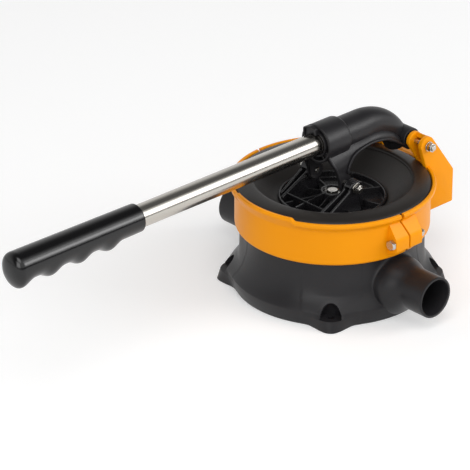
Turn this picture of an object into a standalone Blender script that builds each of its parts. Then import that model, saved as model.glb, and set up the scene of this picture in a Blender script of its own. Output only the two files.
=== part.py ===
"""Lever diaphragm hand pump, in metres with +Z up.

The pump's axis is Z and its base rests on z = 0. The lever swings in the XZ plane, with the handle
towards -X and its bracket towards +X. The outlet points to -Y and the inlet to +Y.
"""

import math

import bmesh
import bpy
from mathutils import Matrix, Vector

MM = 0.001

# Clearances, and how far a cutter runs past the face that it cuts
FIT_GAP = 0.3 * MM
RUN_GAP = 0.6 * MM
CUT_OVER = 2.0 * MM
MERGE = 0.00001

# Facets of round pieces
RING_STEPS = 48
TUBE_STEPS = 24
PORT_STEPS = 32
BOLT_STEPS = 12
ARC_STEPS = 5

# Body: bell, chamber and base
NECK_RADIUS = 79.5 * MM
BODY_WALL = 4.5 * MM
BODY_HEIGHT = 90.0 * MM
FLOOR_THICKNESS = 5.0 * MM
FLOOR_FILLET = 10.0 * MM
SKIRT_RADIUS = 93.0 * MM
SKIRT_TOP = 36.0 * MM
SKIRT_EDGE_HEIGHT = 7.0 * MM
BASE_EDGE_DROP = 3.0 * MM

# Base lugs with their screw pockets
LUG_COUNT = 4
LUG_CENTRE_RADIUS = 91.0 * MM
LUG_REACH = 13.5 * MM
LUG_DRAFT = 3.0 * MM
LUG_HALF_WIDTH = 26.0 * MM
LUG_HEIGHT = 8.1 * MM
LUG_SINK = 1.2 * MM
LUG_POINTS = 9
MOUND_HEIGHT = 25.0 * MM
MOUND_STEPS = 4
POCKET_RADIUS = 9.5 * MM
LUG_HOLE_RADIUS = 3.25 * MM

# Hose ports
PORT_HEIGHT = 31.0 * MM
PORT_REACH = 129.0 * MM
PORT_RADIUS = 19.0 * MM
PORT_WALL = 2.5 * MM
PORT_ROOT = 62.0 * MM
BULB_WALL = 3.2 * MM
BULB_END = 84.0 * MM
BULB_TAPER = 22.0 * MM
VALVE_CAVITY_WALL = 0.6 * MM
VALVE_CAVITY_LENGTH = 13.0 * MM
VALVE_CONE_LENGTH = 8.0 * MM

# Valve seats, flaps, hinge pins and seat screws
SEAT_RADIUS = 23.7 * MM
SEAT_THICKNESS = 4.0 * MM
SEAT_SHOULDER = 79.0 * MM
SEAT_HOLE_RADIUS = 9.8 * MM
FLAP_RADIUS = 12.5 * MM
FLAP_THICKNESS = 2.4 * MM
FLAP_NECK_WIDTH = 7.5 * MM
HINGE_RISE = 14.8 * MM
KNUCKLE_RADIUS = 2.0 * MM
KNUCKLE_LENGTH = 9.0 * MM
HINGE_LUG_WIDTH = 2.4 * MM
HINGE_LUG_MARGIN = 1.0 * MM
PIN_RADIUS = 1.0 * MM
SEAT_SCREW_OFFSET = 21.4 * MM
SEAT_SCREW_RADIUS = 1.2 * MM
SEAT_SCREW_HEAD_RADIUS = 2.2 * MM
SEAT_SCREW_HEAD_HEIGHT = 1.8 * MM
SEAT_SCREW_DEPTH = 6.0 * MM

# Clamp band of two halves
SKIRT_RUBBER = 4.4 * MM
BAND_WALL = 3.0 * MM
BAND_BOTTOM = 58.5 * MM
BAND_TOP = 100.5 * MM
BAND_SHOULDER = 4.5 * MM
BAND_FLANGE = 2.8 * MM
RIM_REACH = 4.5 * MM
RIM_WIDTH = 3.5 * MM
RIM_HEIGHT = 3.6 * MM
RIM_SEAT = 5.0 * MM
SPLIT_GAP = 2.2 * MM
SPLIT_LEAN = 17.0
SPLIT_MIDDLE_HEIGHT = 84.0 * MM
SPLIT_MIDDLE_X = 1.0 * MM
CLAMP_LUG_REACH = 8.5 * MM
CLAMP_LUG_HALF_LENGTH = 16.0 * MM
CLAMP_LUG_BOTTOM = 62.0 * MM
CLAMP_LUG_TOP = 84.0 * MM
CLAMP_LUG_SLOPE = 11.0 * MM
CLAMP_BOLT_OFFSET = 3.7 * MM
CLAMP_BOLT_HEIGHT = 75.0 * MM
CLAMP_BOLT_RADIUS = 2.5 * MM
CLAMP_HEAD_ACROSS = 8.5 * MM
CLAMP_HEAD_HEIGHT = 3.6 * MM
CLAMP_NUT_HEIGHT = 4.2 * MM
CLAMP_BOLT_TAIL = 2.0 * MM

# Bracket on the band's rear half, and the lever's pivot in it
PIVOT_X = 80.0 * MM
PIVOT_RISE = 20.5 * MM
BRACKET_INNER = 20.8 * MM
BRACKET_INNER_WALL = 4.0 * MM
BRACKET_OUTER_WALL = 4.5 * MM
BRACKET_HALF_WIDTH = 40.0 * MM
BRACKET_EDGE_WALL = 4.0 * MM
BRACKET_EYE_RADIUS = 10.5 * MM
BRACKET_REACH = 114.0 * MM
BRACKET_BOTTOM = 57.0 * MM
BRACKET_CHAMFER_HEIGHT = 89.0 * MM
BRACKET_FOOT_X = 80.0 * MM
BRACKET_FOOT_RISE = 1.0 * MM
HOLLOW_TOP_TURN = 75.0
PIVOT_BOLT_RADIUS = 3.0 * MM
PIVOT_HEAD_ACROSS = 10.0 * MM
PIVOT_HEAD_HEIGHT = 4.0 * MM
PIVOT_NUT_HEIGHT = 4.8 * MM
PIVOT_BOLT_TAIL = 1.2 * MM
PIVOT_WASHER_RADIUS = 6.0 * MM
WASHER_THICKNESS = 1.2 * MM
BUSH_WALL = 2.2 * MM

# Lever: socket, arm, arch and legs
ARM_RISE = 21.5 * MM
ARM_RADIUS = 15.2 * MM
TAIL_RADIUS = 12.0 * MM
ARCH_START_X = 30.0 * MM
ARCH_OUTER_RADIUS = 61.2 * MM
ARCH_GROWTH = 4.0 * MM
ARCH_SWEEP = 72.0
ARCH_STATIONS = 8
COLLAR_RADIUS = 18.0 * MM
COLLAR_FACE_X = -22.0 * MM
COLLAR_BACK_X = 5.0 * MM
SOCKET_END_X = 25.0 * MM
SLEEVE_WALL = 1.8 * MM
COLLAR_WALL = 2.4 * MM
SOCKET_GROOVE_DEPTH = 12.0 * MM
EYE_RADIUS = 10.0 * MM
EYE_HALF_LENGTH = 19.4 * MM
SADDLE_HALF_WIDTH = 21.0 * MM
SADDLE_NARROWING = 0.0263
SADDLE_WALL = 4.0 * MM
SADDLE_FRONT_X = -25.0 * MM
SADDLE_BACK_X = 86.0 * MM
SADDLE_STATIONS = 9
SADDLE_CROWN_SHARE = 0.75
SADDLE_SINK = 1.0 * MM
SHOULDER_DROP = 18.5 * MM
SHOULDER_DROP_TAIL = 6.0 * MM
SADDLE_HANG = 12.5 * MM
LEG_FRONT_X = -20.0 * MM
LEG_FRONT_DROP = 5.5 * MM
LEG_EYE_RADIUS = 7.5 * MM
LEG_WAIST_X = -0.5 * MM
LEG_WAIST_RISE = 10.0 * MM
ARCH_CROWN_X = 29.0 * MM
ARCH_CROWN_DROP = 9.0 * MM
ARCH_RISE_X = 10.0 * MM
ARCH_RISE_DROP = 12.5 * MM
ARCH_FALL_X = 58.0 * MM
ARCH_FALL_DROP = 16.5 * MM
ARCH_TAIL_X = 75.0 * MM
ARCH_TAIL_DROP = 5.5 * MM

# Link between the lever's legs and the plate's ears
LINK_X = -3.0 * MM
LINK_RISE = 17.7 * MM
LINK_BOLT_RADIUS = 2.5 * MM
LINK_HEAD_ACROSS = 8.0 * MM
LINK_HEAD_HEIGHT = 3.5 * MM
LINK_NUT_HEIGHT = 4.0 * MM
LINK_BOLT_TAIL = 1.2 * MM
LINK_WASHER_RADIUS = 5.0 * MM
LINK_TRAVEL_BACK = 1.8 * MM
LINK_TRAVEL_FORWARD = 4.2 * MM
EAR_WALL = 3.0 * MM
EAR_TOP_WALL = 1.9 * MM
EAR_SIDE_GAP = 1.3 * MM
EAR_PITCH = 6.7 * MM
EAR_BACK_TURN = 190.0
EAR_NECK_REACH = 2.7 * MM
EAR_NECK_DROP = 2.9 * MM
EAR_FOOT_RISE = 1.5 * MM

# Diaphragm and the plates that clamp it
PLATE_RADIUS = 48.6 * MM
PLATE_RIM_WALL = 2.6 * MM
PLATE_RIM_HEIGHT = 86.8 * MM
PLATE_FLOOR_TOP = 80.0 * MM
PLATE_FLOOR = 3.0 * MM
HUB_RADIUS = 11.0 * MM
HUB_TOP = 86.0 * MM
RIB_COUNT = 8
RIB_WALL = 2.0 * MM
RIB_HEIGHT = 84.0 * MM
RUBBER = 3.2 * MM
ROLL_RADIUS = 72.0 * MM
ROLL_RISE = 3.0 * MM
ROLL_EDGE_SINK = 0.9 * MM
ROLL_EDGE_DROP = 2.0 * MM
ROLL_STEPS = 4
BOWL_EDGE_Z = 84.5 * MM
BOWL_STEPS = 7
BACKING_RADIUS = 46.0 * MM
BACKING_THICKNESS = 3.0 * MM
BACKING_EDGE = 1.4 * MM
CENTRE_BOLT_RADIUS = 4.0 * MM
CENTRE_HEAD_ACROSS = 13.0 * MM
CENTRE_HEAD_HEIGHT = 5.3 * MM
CENTRE_NUT_HEIGHT = 5.5 * MM
CENTRE_WASHER_RADIUS = 8.5 * MM
CENTRE_BOLT_TAIL = 1.6 * MM

# Handle tube and grip
HANDLE_RADIUS = 10.2 * MM
HANDLE_WALL = 1.2 * MM
HANDLE_END_X = -352.0 * MM
GRIP_MOUTH_X = -233.0 * MM
GRIP_LENGTH = 140.0 * MM
GRIP_MOUTH_WALL = 2.2 * MM
GRIP_END_WALL = 3.4 * MM
GRIP_STATIONS = 28
GRIP_DOME = 12.0 * MM
FINGER_COUNT = 4
FINGER_PITCH = 27.6 * MM
FINGER_FIRST = 38.0 * MM
FINGER_DEPTH = 2.8 * MM

# Sizes that follow from those above
CHAMBER_RADIUS = NECK_RADIUS - BODY_WALL
PORT_BORE = PORT_RADIUS - PORT_WALL
COUNTERBORE = SEAT_RADIUS + FIT_GAP
BULB_RADIUS = COUNTERBORE + BULB_WALL
VALVE_CAVITY = SEAT_SCREW_OFFSET - SEAT_SCREW_RADIUS - FIT_GAP - VALVE_CAVITY_WALL
SEAT_BACK = SEAT_SHOULDER - FIT_GAP
SEAT_FRONT = SEAT_BACK - SEAT_THICKNESS
SKIRT_RUBBER_INNER = NECK_RADIUS + FIT_GAP
SKIRT_RUBBER_OUTER = SKIRT_RUBBER_INNER + SKIRT_RUBBER
BAND_INNER = SKIRT_RUBBER_OUTER + FIT_GAP
BAND_RADIUS = BAND_INNER + BAND_WALL
RIM_RADIUS = BAND_RADIUS + RIM_REACH
RIM_INNER = RIM_RADIUS - RIM_WIDTH
RIM_SEAT_Z = BAND_TOP - RIM_SEAT
BRACKET_FOOT_Z = BAND_TOP + BRACKET_FOOT_RISE
PIVOT_Z = BAND_TOP + PIVOT_RISE
ARM_HEIGHT = PIVOT_Z + ARM_RISE
ROLL_TOP = BAND_TOP + ROLL_RISE
ROLL_EDGE_Z = BAND_TOP - ROLL_EDGE_SINK
LINK_Z = PLATE_RIM_HEIGHT + LINK_RISE
SADDLE_LOW_Z = LINK_Z - SADDLE_HANG
LEG_FRONT_Z = ARM_HEIGHT - LEG_FRONT_DROP
LEG_WAIST_Z = LINK_Z + LEG_WAIST_RISE
ARCH_RISE_Z = ARM_HEIGHT - ARCH_RISE_DROP
ARCH_CROWN_Z = ARM_HEIGHT - ARCH_CROWN_DROP
ARCH_FALL_Z = ARM_HEIGHT - ARCH_FALL_DROP
ARCH_TAIL_Z = PIVOT_Z - ARCH_TAIL_DROP
CLAMP_BOLT_Y = BAND_RADIUS + CLAMP_BOLT_OFFSET
HANDLE_BORE = HANDLE_RADIUS + FIT_GAP
BUSH_RADIUS = PIVOT_BOLT_RADIUS + FIT_GAP + BUSH_WALL
PLATE_FLOOR_BOTTOM = PLATE_FLOOR_TOP - PLATE_FLOOR
RUBBER_TOP = PLATE_FLOOR_BOTTOM - FIT_GAP
RUBBER_BOTTOM = RUBBER_TOP - RUBBER
BACKING_TOP = RUBBER_BOTTOM - FIT_GAP
BACKING_BOTTOM = BACKING_TOP - BACKING_THICKNESS
CENTRE_HOLE = CENTRE_BOLT_RADIUS + FIT_GAP
LEG_Y = SADDLE_HALF_WIDTH - SADDLE_NARROWING * LINK_X - SADDLE_WALL / 2
EAR_INNER_Y = LEG_Y + SADDLE_WALL / 2 + EAR_SIDE_GAP + EAR_WALL / 2
EAR_OUTER_Y = EAR_INNER_Y + EAR_PITCH
SLOT_RADIUS = LINK_BOLT_RADIUS + RUN_GAP
GRIP_BORE = HANDLE_RADIUS + FIT_GAP

# Finishes: name, sRGB colour, roughness, metallic
BLACK_NYLON = ("moulded_black_nylon", "2E2D30", 0.45, 0.0)
ORANGE_NYLON = ("moulded_orange_nylon", "F29A12", 0.38, 0.0)
BLACK_RUBBER = ("moulded_black_rubber", "2B2929", 0.62, 0.0)
BLACK_VINYL = ("dipped_black_vinyl", "101012", 0.18, 0.0)
POLISHED_STEEL = ("polished_stainless_tube", "D6D2CC", 0.12, 1.0)
STAINLESS = ("stainless_fastener", "C6C3BE", 0.28, 1.0)
ACETAL = ("natural_acetal", "E4E0D6", 0.4, 0.0)

PART_COLLECTION = "lever_diaphragm_hand_pump"
TOOL_COLLECTION = "cutters"


def clear_scene():
    """Remove whatever the scene holds."""
    for item in list(bpy.data.objects):
        bpy.data.objects.remove(item, do_unlink=True)


def collection(name):
    """Return the collection of this name, made and linked once."""
    found = bpy.data.collections.get(name)
    if found is None:
        found = bpy.data.collections.new(name)
        bpy.context.scene.collection.children.link(found)
    return found


def add_object(name, mesh, tool):
    """Put a mesh into the scene, as a part or as a hidden tool for Booleans."""
    item = bpy.data.objects.new(name, mesh)
    collection(TOOL_COLLECTION if tool else PART_COLLECTION).objects.link(item)
    if tool:
        item.hide_render = True
        item.display_type = "WIRE"
    return item


def baked(item):
    """Turn an object, curve or mesh, into one plain mesh with its modifiers applied."""
    bpy.context.view_layer.update()
    evaluated = item.evaluated_get(bpy.context.evaluated_depsgraph_get())
    mesh = bpy.data.meshes.new_from_object(evaluated)
    shape = bmesh.new()
    shape.from_mesh(mesh)
    bmesh.ops.remove_doubles(shape, verts=shape.verts, dist=MERGE)
    bmesh.ops.recalc_face_normals(shape, faces=shape.faces)
    shape.to_mesh(mesh)
    shape.free()
    plain = bpy.data.objects.new(item.name, mesh)
    for home in item.users_collection:
        home.objects.link(plain)
    plain.matrix_world = item.matrix_world.copy()
    plain.hide_render = item.hide_render
    plain.display_type = item.display_type
    name = item.name
    bpy.data.objects.remove(item, do_unlink=True)
    plain.name = name
    return plain


def facing(start, end):
    """Matrix that puts local Z along the line from start to end, with its origin at start."""
    start, end = Vector(start), Vector(end)
    turn = (end - start).to_track_quat("Z", "Y").to_matrix().to_4x4()
    return Matrix.Translation(start) @ turn


def cylinder(name, radius, start, end, steps, tool=True):
    """A round bar between two points."""
    length = (Vector(end) - Vector(start)).length
    shape = bmesh.new()
    lift = Matrix.Translation((0, 0, length / 2))
    bmesh.ops.create_cone(shape, cap_ends=True, segments=steps, radius1=radius, radius2=radius,
                          depth=length, matrix=lift)
    mesh = bpy.data.meshes.new(name)
    shape.to_mesh(mesh)
    shape.free()
    item = add_object(name, mesh, tool)
    item.matrix_world = facing(start, end)
    return item


def block(name, low, high, tool=True, turn=None):
    """A box between two corners, turned about its own middle if a matrix is given."""
    low, high = Vector(low), Vector(high)
    shape = bmesh.new()
    bmesh.ops.create_cube(shape, size=1.0, matrix=Matrix.Diagonal((high - low).to_4d()))
    mesh = bpy.data.meshes.new(name)
    shape.to_mesh(mesh)
    shape.free()
    item = add_object(name, mesh, tool)
    item.matrix_world = Matrix.Translation((low + high) / 2) @ (turn or Matrix.Identity(4))
    return item


def turned(name, profile, steps, place=None, loop=False, tool=False):
    """Turn a profile of (radius, height) points, listed down its outer side, about local Z."""
    edges = [(index, index + 1) for index in range(len(profile) - 1)]
    if loop:
        edges.append((len(profile) - 1, 0))
    mesh = bpy.data.meshes.new(name)
    mesh.from_pydata([(radius, 0.0, height) for radius, height in profile], edges, [])
    item = add_object(name, mesh, tool)
    item.matrix_world = place or Matrix.Identity(4)
    screw = item.modifiers.new("Turn", "SCREW")
    screw.axis = "Z"
    screw.angle = math.tau
    screw.steps = steps
    screw.render_steps = steps
    screw.use_merge_vertices = True
    screw.merge_threshold = MERGE
    return item


def sleeve(name, outer, inner, start, end, steps, tool=False):
    """A plain tube between two points."""
    length = (Vector(end) - Vector(start)).length
    profile = [(outer, length), (outer, 0.0), (inner, 0.0), (inner, length)]
    return turned(name, profile, steps, facing(start, end), loop=True, tool=tool)


SIDE_VIEW = Matrix(((1, 0, 0, 0), (0, 0, -1, 0), (0, 1, 0, 0), (0, 0, 0, 1)))
END_VIEW = Matrix(((0, 0, 1, 0), (1, 0, 0, 0), (0, 1, 0, 0), (0, 0, 0, 1)))


def sheet(name, points, thickness, view, offset, tool=True):
    """Extrude a flat outline, drawn in XZ or YZ, about a plane at this offset along Y or X."""
    curve = bpy.data.curves.new(name, "CURVE")
    curve.dimensions = "2D"
    curve.fill_mode = "BOTH"
    curve.extrude = thickness / 2
    spline = curve.splines.new("POLY")
    spline.points.add(len(points) - 1)
    for place, (across, up) in zip(spline.points, points):
        place.co = (across, up, 0.0, 1.0)
    spline.use_cyclic_u = True
    item = add_object(name, curve, tool)
    item.matrix_world = Matrix.Translation(offset) @ view
    return baked(item)


def loft(name, rings):
    """Closed tool through rings of points, capped at both ends and cut into triangles, which stay flat."""
    shape = bmesh.new()
    made = [[shape.verts.new(point) for point in ring] for ring in rings]
    count = len(made[0])
    for near, far in zip(made, made[1:]):
        for index in range(count):
            follow = (index + 1) % count
            shape.faces.new((near[index], near[follow], far[follow], far[index]))
    shape.faces.new(made[0][::-1])
    shape.faces.new(made[-1])
    bmesh.ops.recalc_face_normals(shape, faces=shape.faces)
    bmesh.ops.triangulate(shape, faces=shape.faces)
    mesh = bpy.data.meshes.new(name)
    shape.to_mesh(mesh)
    shape.free()
    return add_object(name, mesh, True)


def arc(middle, radius, first, last, steps=ARC_STEPS):
    """Points on an arc, with its angles in degrees."""
    turns = [math.radians(first + (last - first) * step / steps) for step in range(steps + 1)]
    return [(middle[0] + radius * math.cos(turn), middle[1] + radius * math.sin(turn)) for turn in turns]


def boolean(target, tool, operation):
    """Join a tool to a piece, cut it out or keep what they share."""
    change = target.modifiers.new(tool.name, "BOOLEAN")
    change.operation = operation
    change.solver = "EXACT"
    change.object = tool


def join(target, *tools):
    """Add tools to a piece."""
    for tool in tools:
        boolean(target, tool, "UNION")


def cut(target, *tools):
    """Take tools out of a piece."""
    for tool in tools:
        boolean(target, tool, "DIFFERENCE")


def linear(channel):
    """One sRGB channel from 0 to 1 as linear light."""
    return channel / 12.92 if channel <= 0.04045 else ((channel + 0.055) / 1.055) ** 2.4


def finish(item, look):
    """Give a piece its own material."""
    name, colour, roughness, metallic = look
    material = bpy.data.materials.new(f"{item.name}_{name}")
    material.use_nodes = True
    shader = material.node_tree.nodes["Principled BSDF"]
    channels = [int(colour[start:start + 2], 16) / 255 for start in (0, 2, 4)]
    shader.inputs["Base Color"].default_value = [linear(value) for value in channels] + [1.0]
    shader.inputs["Roughness"].default_value = roughness
    shader.inputs["Metallic"].default_value = metallic
    item.data.materials.clear()
    item.data.materials.append(material)
    item.data.shade_smooth()
    item.data.set_sharp_from_angle(angle=math.radians(35))
    return item


def joint_empty(name, place):
    """An empty on a joint's axis, which carries the pieces that move together."""
    empty = bpy.data.objects.new(name, None)
    collection(PART_COLLECTION).objects.link(empty)
    empty.location = place
    bpy.context.view_layer.update()
    return empty


def hang(empty, *items):
    """Hang pieces on an empty without moving them."""
    for item in items:
        item.parent = empty
        item.matrix_parent_inverse = empty.matrix_world.inverted()


def hex_bolt(name, radius, across, head_height, seat, tip, look):
    """A hexagon bolt whose head sits at seat and whose shank ends at tip."""
    seat, tip = Vector(seat), Vector(tip)
    aim = (tip - seat).normalized()
    corner = across / math.sqrt(3)
    bolt = cylinder(name, corner, seat - aim * head_height, seat, 6, tool=False)
    shank = cylinder(f"{name}_shank", radius, seat - aim * head_height / 2, tip, BOLT_STEPS)
    join(bolt, shank)
    return finish(bolt, look)


def hex_nut(name, bolt_radius, across, height, seat, aim, look):
    """A hexagon nut on a bolt, from its seat along aim."""
    seat, aim = Vector(seat), Vector(aim)
    nut = cylinder(name, across / math.sqrt(3), seat, seat + aim * height, 6, tool=False)
    hole = cylinder(f"{name}_hole", bolt_radius + FIT_GAP, seat - aim * CUT_OVER,
                    seat + aim * (height + CUT_OVER), BOLT_STEPS)
    cut(nut, hole)
    return finish(nut, look)


def washer(name, outer, bolt_radius, seat, aim, look):
    """A flat washer on a bolt, from its seat along aim."""
    seat, aim = Vector(seat), Vector(aim)
    ring = sleeve(name, outer, bolt_radius + FIT_GAP, seat, seat + aim * WASHER_THICKNESS, BOLT_STEPS)
    return finish(ring, look)


def port_frame(side):
    """Frame of a port: local Z runs outwards along its axis from the pump's axis."""
    start = (0.0, 0.0, PORT_HEIGHT)
    return facing(start, (0.0, side, PORT_HEIGHT))


def port_outer_profile():
    """Outer profile of a port: bulb over the valve, then the plain hose spigot."""
    profile = [(0.0, PORT_REACH), (PORT_RADIUS, PORT_REACH)]
    for step in range(ARC_STEPS + 1):
        turn = math.pi / 2 * step / ARC_STEPS
        radius = PORT_RADIUS + (BULB_RADIUS - PORT_RADIUS) * math.sin(turn) ** 2
        profile.append((radius, BULB_END + BULB_TAPER * (1 - step / ARC_STEPS)))
    return profile + [(BULB_RADIUS, PORT_ROOT), (0.0, PORT_ROOT)]


def port_bore_profile():
    """Profile of a port's inside: bore, valve cavity and the seat's counterbore."""
    cavity_end = SEAT_SHOULDER + VALVE_CAVITY_LENGTH
    return [(0.0, PORT_REACH + CUT_OVER), (PORT_BORE, PORT_REACH + CUT_OVER),
            (PORT_BORE, cavity_end + VALVE_CONE_LENGTH), (VALVE_CAVITY, cavity_end),
            (VALVE_CAVITY, SEAT_SHOULDER), (COUNTERBORE, SEAT_SHOULDER),
            (COUNTERBORE, PORT_ROOT - CUT_OVER), (0.0, PORT_ROOT - CUT_OVER)]


def body_outer_profile():
    """Outer profile of the bell: straight neck, concave flare and rounded base edge."""
    profile = [(0.0, BODY_HEIGHT), (NECK_RADIUS, BODY_HEIGHT)]
    for step in range(ARC_STEPS + 1):
        turn = math.pi / 2 * step / ARC_STEPS
        radius = NECK_RADIUS + (SKIRT_RADIUS - NECK_RADIUS) * (1 - math.cos(turn))
        profile.append((radius, SKIRT_TOP - (SKIRT_TOP - SKIRT_EDGE_HEIGHT) * math.sin(turn)))
    return profile + [(SKIRT_RADIUS - BASE_EDGE_DROP, 0.0), (0.0, 0.0)]


def chamber_profile():
    """Profile of the pump chamber, open at the top."""
    top = BODY_HEIGHT + CUT_OVER
    fillet = arc((CHAMBER_RADIUS - FLOOR_FILLET, FLOOR_THICKNESS + FLOOR_FILLET), FLOOR_FILLET, 0, -90)
    return [(0.0, top), (CHAMBER_RADIUS, top)] + fillet + [(0.0, FLOOR_THICKNESS)]


def bell_radius(height):
    """Outer radius of the bell at a height."""
    if height < SKIRT_EDGE_HEIGHT:
        return SKIRT_RADIUS - BASE_EDGE_DROP * (1 - height / SKIRT_EDGE_HEIGHT)
    fall = (SKIRT_TOP - height) / (SKIRT_TOP - SKIRT_EDGE_HEIGHT)
    return NECK_RADIUS + (SKIRT_RADIUS - NECK_RADIUS) * (1 - math.sqrt(1 - fall ** 2))


def lug_ring(height, tip, turn):
    """Level section of a base lug: an ear that swells outside the bell, closed inside the body's wall."""
    base, inside = bell_radius(height) - LUG_SINK, NECK_RADIUS - BODY_WALL / 2
    sides = [LUG_HALF_WIDTH * (2 * step / (LUG_POINTS - 1) - 1) for step in range(LUG_POINTS)]
    outer = []
    for side in sides:
        swell = (1 + math.cos(math.pi * side / LUG_HALF_WIDTH)) / 2
        outer.append((math.sqrt(base ** 2 - side ** 2) + (tip - base) * swell, side, height))
    inner = [(math.sqrt(inside ** 2 - side ** 2), side, height) for side in sides[::-1]]
    spin = Matrix.Rotation(turn, 3, "Z")
    return [spin @ Vector(point) for point in outer + inner]


def base_lug(name, turn):
    """Base lug: a drafted ear with a mound above it that dies away up the bell."""
    tip = LUG_CENTRE_RADIUS + LUG_REACH
    rings = [lug_ring(0.0, tip, turn)]
    end = bell_radius(MOUND_HEIGHT) - LUG_SINK
    for step in range(MOUND_STEPS + 1):
        share = step / MOUND_STEPS
        height = LUG_HEIGHT + (MOUND_HEIGHT - LUG_HEIGHT) * share
        rings.append(lug_ring(height, tip - LUG_DRAFT + (end - tip + LUG_DRAFT) * share, turn))
    return loft(name, rings)


def build_body():
    """Moulded body with its chamber, ports, lugs and screw pockets."""
    body = turned("pump_body", body_outer_profile(), RING_STEPS)
    cutters = [turned("chamber", chamber_profile(), RING_STEPS, tool=True)]
    for number in range(LUG_COUNT):
        turn = math.tau * (number + 0.5) / LUG_COUNT
        out = Vector((math.cos(turn), math.sin(turn), 0.0))
        spot = out * LUG_CENTRE_RADIUS
        up = Vector((0.0, 0.0, 1.0))
        join(body, base_lug(f"lug_{number}", turn))
        cutters.append(cylinder(f"pocket_{number}", POCKET_RADIUS, spot + up * (LUG_HEIGHT - FIT_GAP),
                                spot + up * SKIRT_TOP, TUBE_STEPS))
        cutters.append(cylinder(f"lug_hole_{number}", LUG_HOLE_RADIUS, spot - up * CUT_OVER,
                                spot + up * SKIRT_TOP, BOLT_STEPS))
    for label, side in (("outlet", -1), ("inlet", 1)):
        frame = port_frame(side)
        join(body, turned(f"{label}_port", port_outer_profile(), PORT_STEPS, frame, tool=True))
        for hand in (-1, 1):
            start = frame @ Vector((hand * SEAT_SCREW_OFFSET, 0.0, SEAT_SHOULDER - CUT_OVER))
            end = frame @ Vector((hand * SEAT_SCREW_OFFSET, 0.0, SEAT_SHOULDER + SEAT_SCREW_DEPTH + FIT_GAP))
            cutters.append(cylinder(f"{label}_screw_hole_{hand}", SEAT_SCREW_RADIUS + FIT_GAP, start, end,
                                    BOLT_STEPS))
        half_step = Matrix.Rotation(math.pi / PORT_STEPS, 4, "Z")
        cutters.append(turned(f"{label}_bore", port_bore_profile(), PORT_STEPS, frame @ half_step, tool=True))
    cut(body, *cutters)
    return finish(body, BLACK_NYLON)


def build_valve(label, side, outward):
    """Valve seat, swinging flap, hinge pin and two screws of one port.

    A flap on the outward face opens away from the chamber, the other one into it.
    """
    frame = port_frame(side)
    face = SEAT_BACK if outward else SEAT_FRONT
    way = 1 if outward else -1
    hinge = face + way * (FIT_GAP + KNUCKLE_RADIUS)
    # Seen along the port, local X or Y may point up, so the hinge is placed in world terms.
    up = Vector((0.0, 0.0, 1.0))
    across = Vector((1.0, 0.0, 0.0))
    along = Vector((0.0, side, 0.0))
    middle = Vector((0.0, 0.0, PORT_HEIGHT))

    seat = sleeve(f"{label}_valve_seat", SEAT_RADIUS, SEAT_HOLE_RADIUS, middle + along * SEAT_FRONT,
                  middle + along * SEAT_BACK, PORT_STEPS)
    pin_centre = middle + along * hinge + up * HINGE_RISE
    lug_half = KNUCKLE_RADIUS
    lug_near = KNUCKLE_LENGTH / 2 + FIT_GAP
    for hand in (-1, 1):
        inner = across * hand * lug_near
        outer = across * hand * (lug_near + HINGE_LUG_WIDTH)
        low = inner - up * lug_half + along * (face - way * SEAT_THICKNESS / 2 - hinge)
        high = outer + up * lug_half + along * way * (PIN_RADIUS + HINGE_LUG_MARGIN)
        corners = [pin_centre + low, pin_centre + high]
        join(seat, block(f"{label}_hinge_lug_{hand}", [min(pair) for pair in zip(*corners)],
                         [max(pair) for pair in zip(*corners)]))
    pin_reach = across * (lug_near + HINGE_LUG_WIDTH)
    pin_hole = cylinder(f"{label}_pin_hole", PIN_RADIUS + FIT_GAP, pin_centre - pin_reach * 2,
                        pin_centre + pin_reach * 2, BOLT_STEPS)
    cut(seat, pin_hole)

    flap_start = face + way * FIT_GAP
    flap_end = flap_start + way * FLAP_THICKNESS
    flap = cylinder(f"{label}_valve_flap", FLAP_RADIUS, middle + along * flap_start,
                    middle + along * flap_end, PORT_STEPS, tool=False)
    knuckle_reach = across * KNUCKLE_LENGTH / 2
    neck_reach = across * FLAP_NECK_WIDTH / 2
    neck = [middle - neck_reach + along * flap_start, pin_centre + neck_reach]
    neck[1] = Vector((neck[1].x, side * flap_end, neck[1].z))
    join(flap, block(f"{label}_flap_neck", [min(pair) for pair in zip(*neck)], [max(pair) for pair in zip(*neck)]))
    join(flap, cylinder(f"{label}_knuckle", KNUCKLE_RADIUS, pin_centre - knuckle_reach,
                        pin_centre + knuckle_reach, BOLT_STEPS))
    cut(flap, pin_hole)
    pin = cylinder(f"{label}_hinge_pin", PIN_RADIUS, pin_centre - pin_reach, pin_centre + pin_reach,
                   BOLT_STEPS, tool=False)
    finish(flap, BLACK_RUBBER)
    finish(pin, STAINLESS)
    hang(joint_empty(f"{label}_flap_hinge", pin_centre), flap)

    for number, hand in enumerate((-1, 1), start=1):
        spot = middle + across * hand * SEAT_SCREW_OFFSET
        screw = cylinder(f"{label}_seat_screw_{number}", SEAT_SCREW_HEAD_RADIUS,
                         spot + along * (SEAT_FRONT - FIT_GAP - SEAT_SCREW_HEAD_HEIGHT),
                         spot + along * (SEAT_FRONT - FIT_GAP), BOLT_STEPS, tool=False)
        join(screw, cylinder(f"{label}_screw_shank_{number}", SEAT_SCREW_RADIUS,
                             spot + along * (SEAT_FRONT - SEAT_SCREW_HEAD_HEIGHT),
                             spot + along * (SEAT_SHOULDER + SEAT_SCREW_DEPTH), BOLT_STEPS))
        cut(seat, cylinder(f"{label}_seat_hole_{number}", SEAT_SCREW_RADIUS + FIT_GAP,
                           spot + along * (SEAT_FRONT - CUT_OVER), spot + along * (SEAT_BACK + CUT_OVER),
                           BOLT_STEPS))
        finish(screw, STAINLESS)
    finish(seat, ACETAL)


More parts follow.
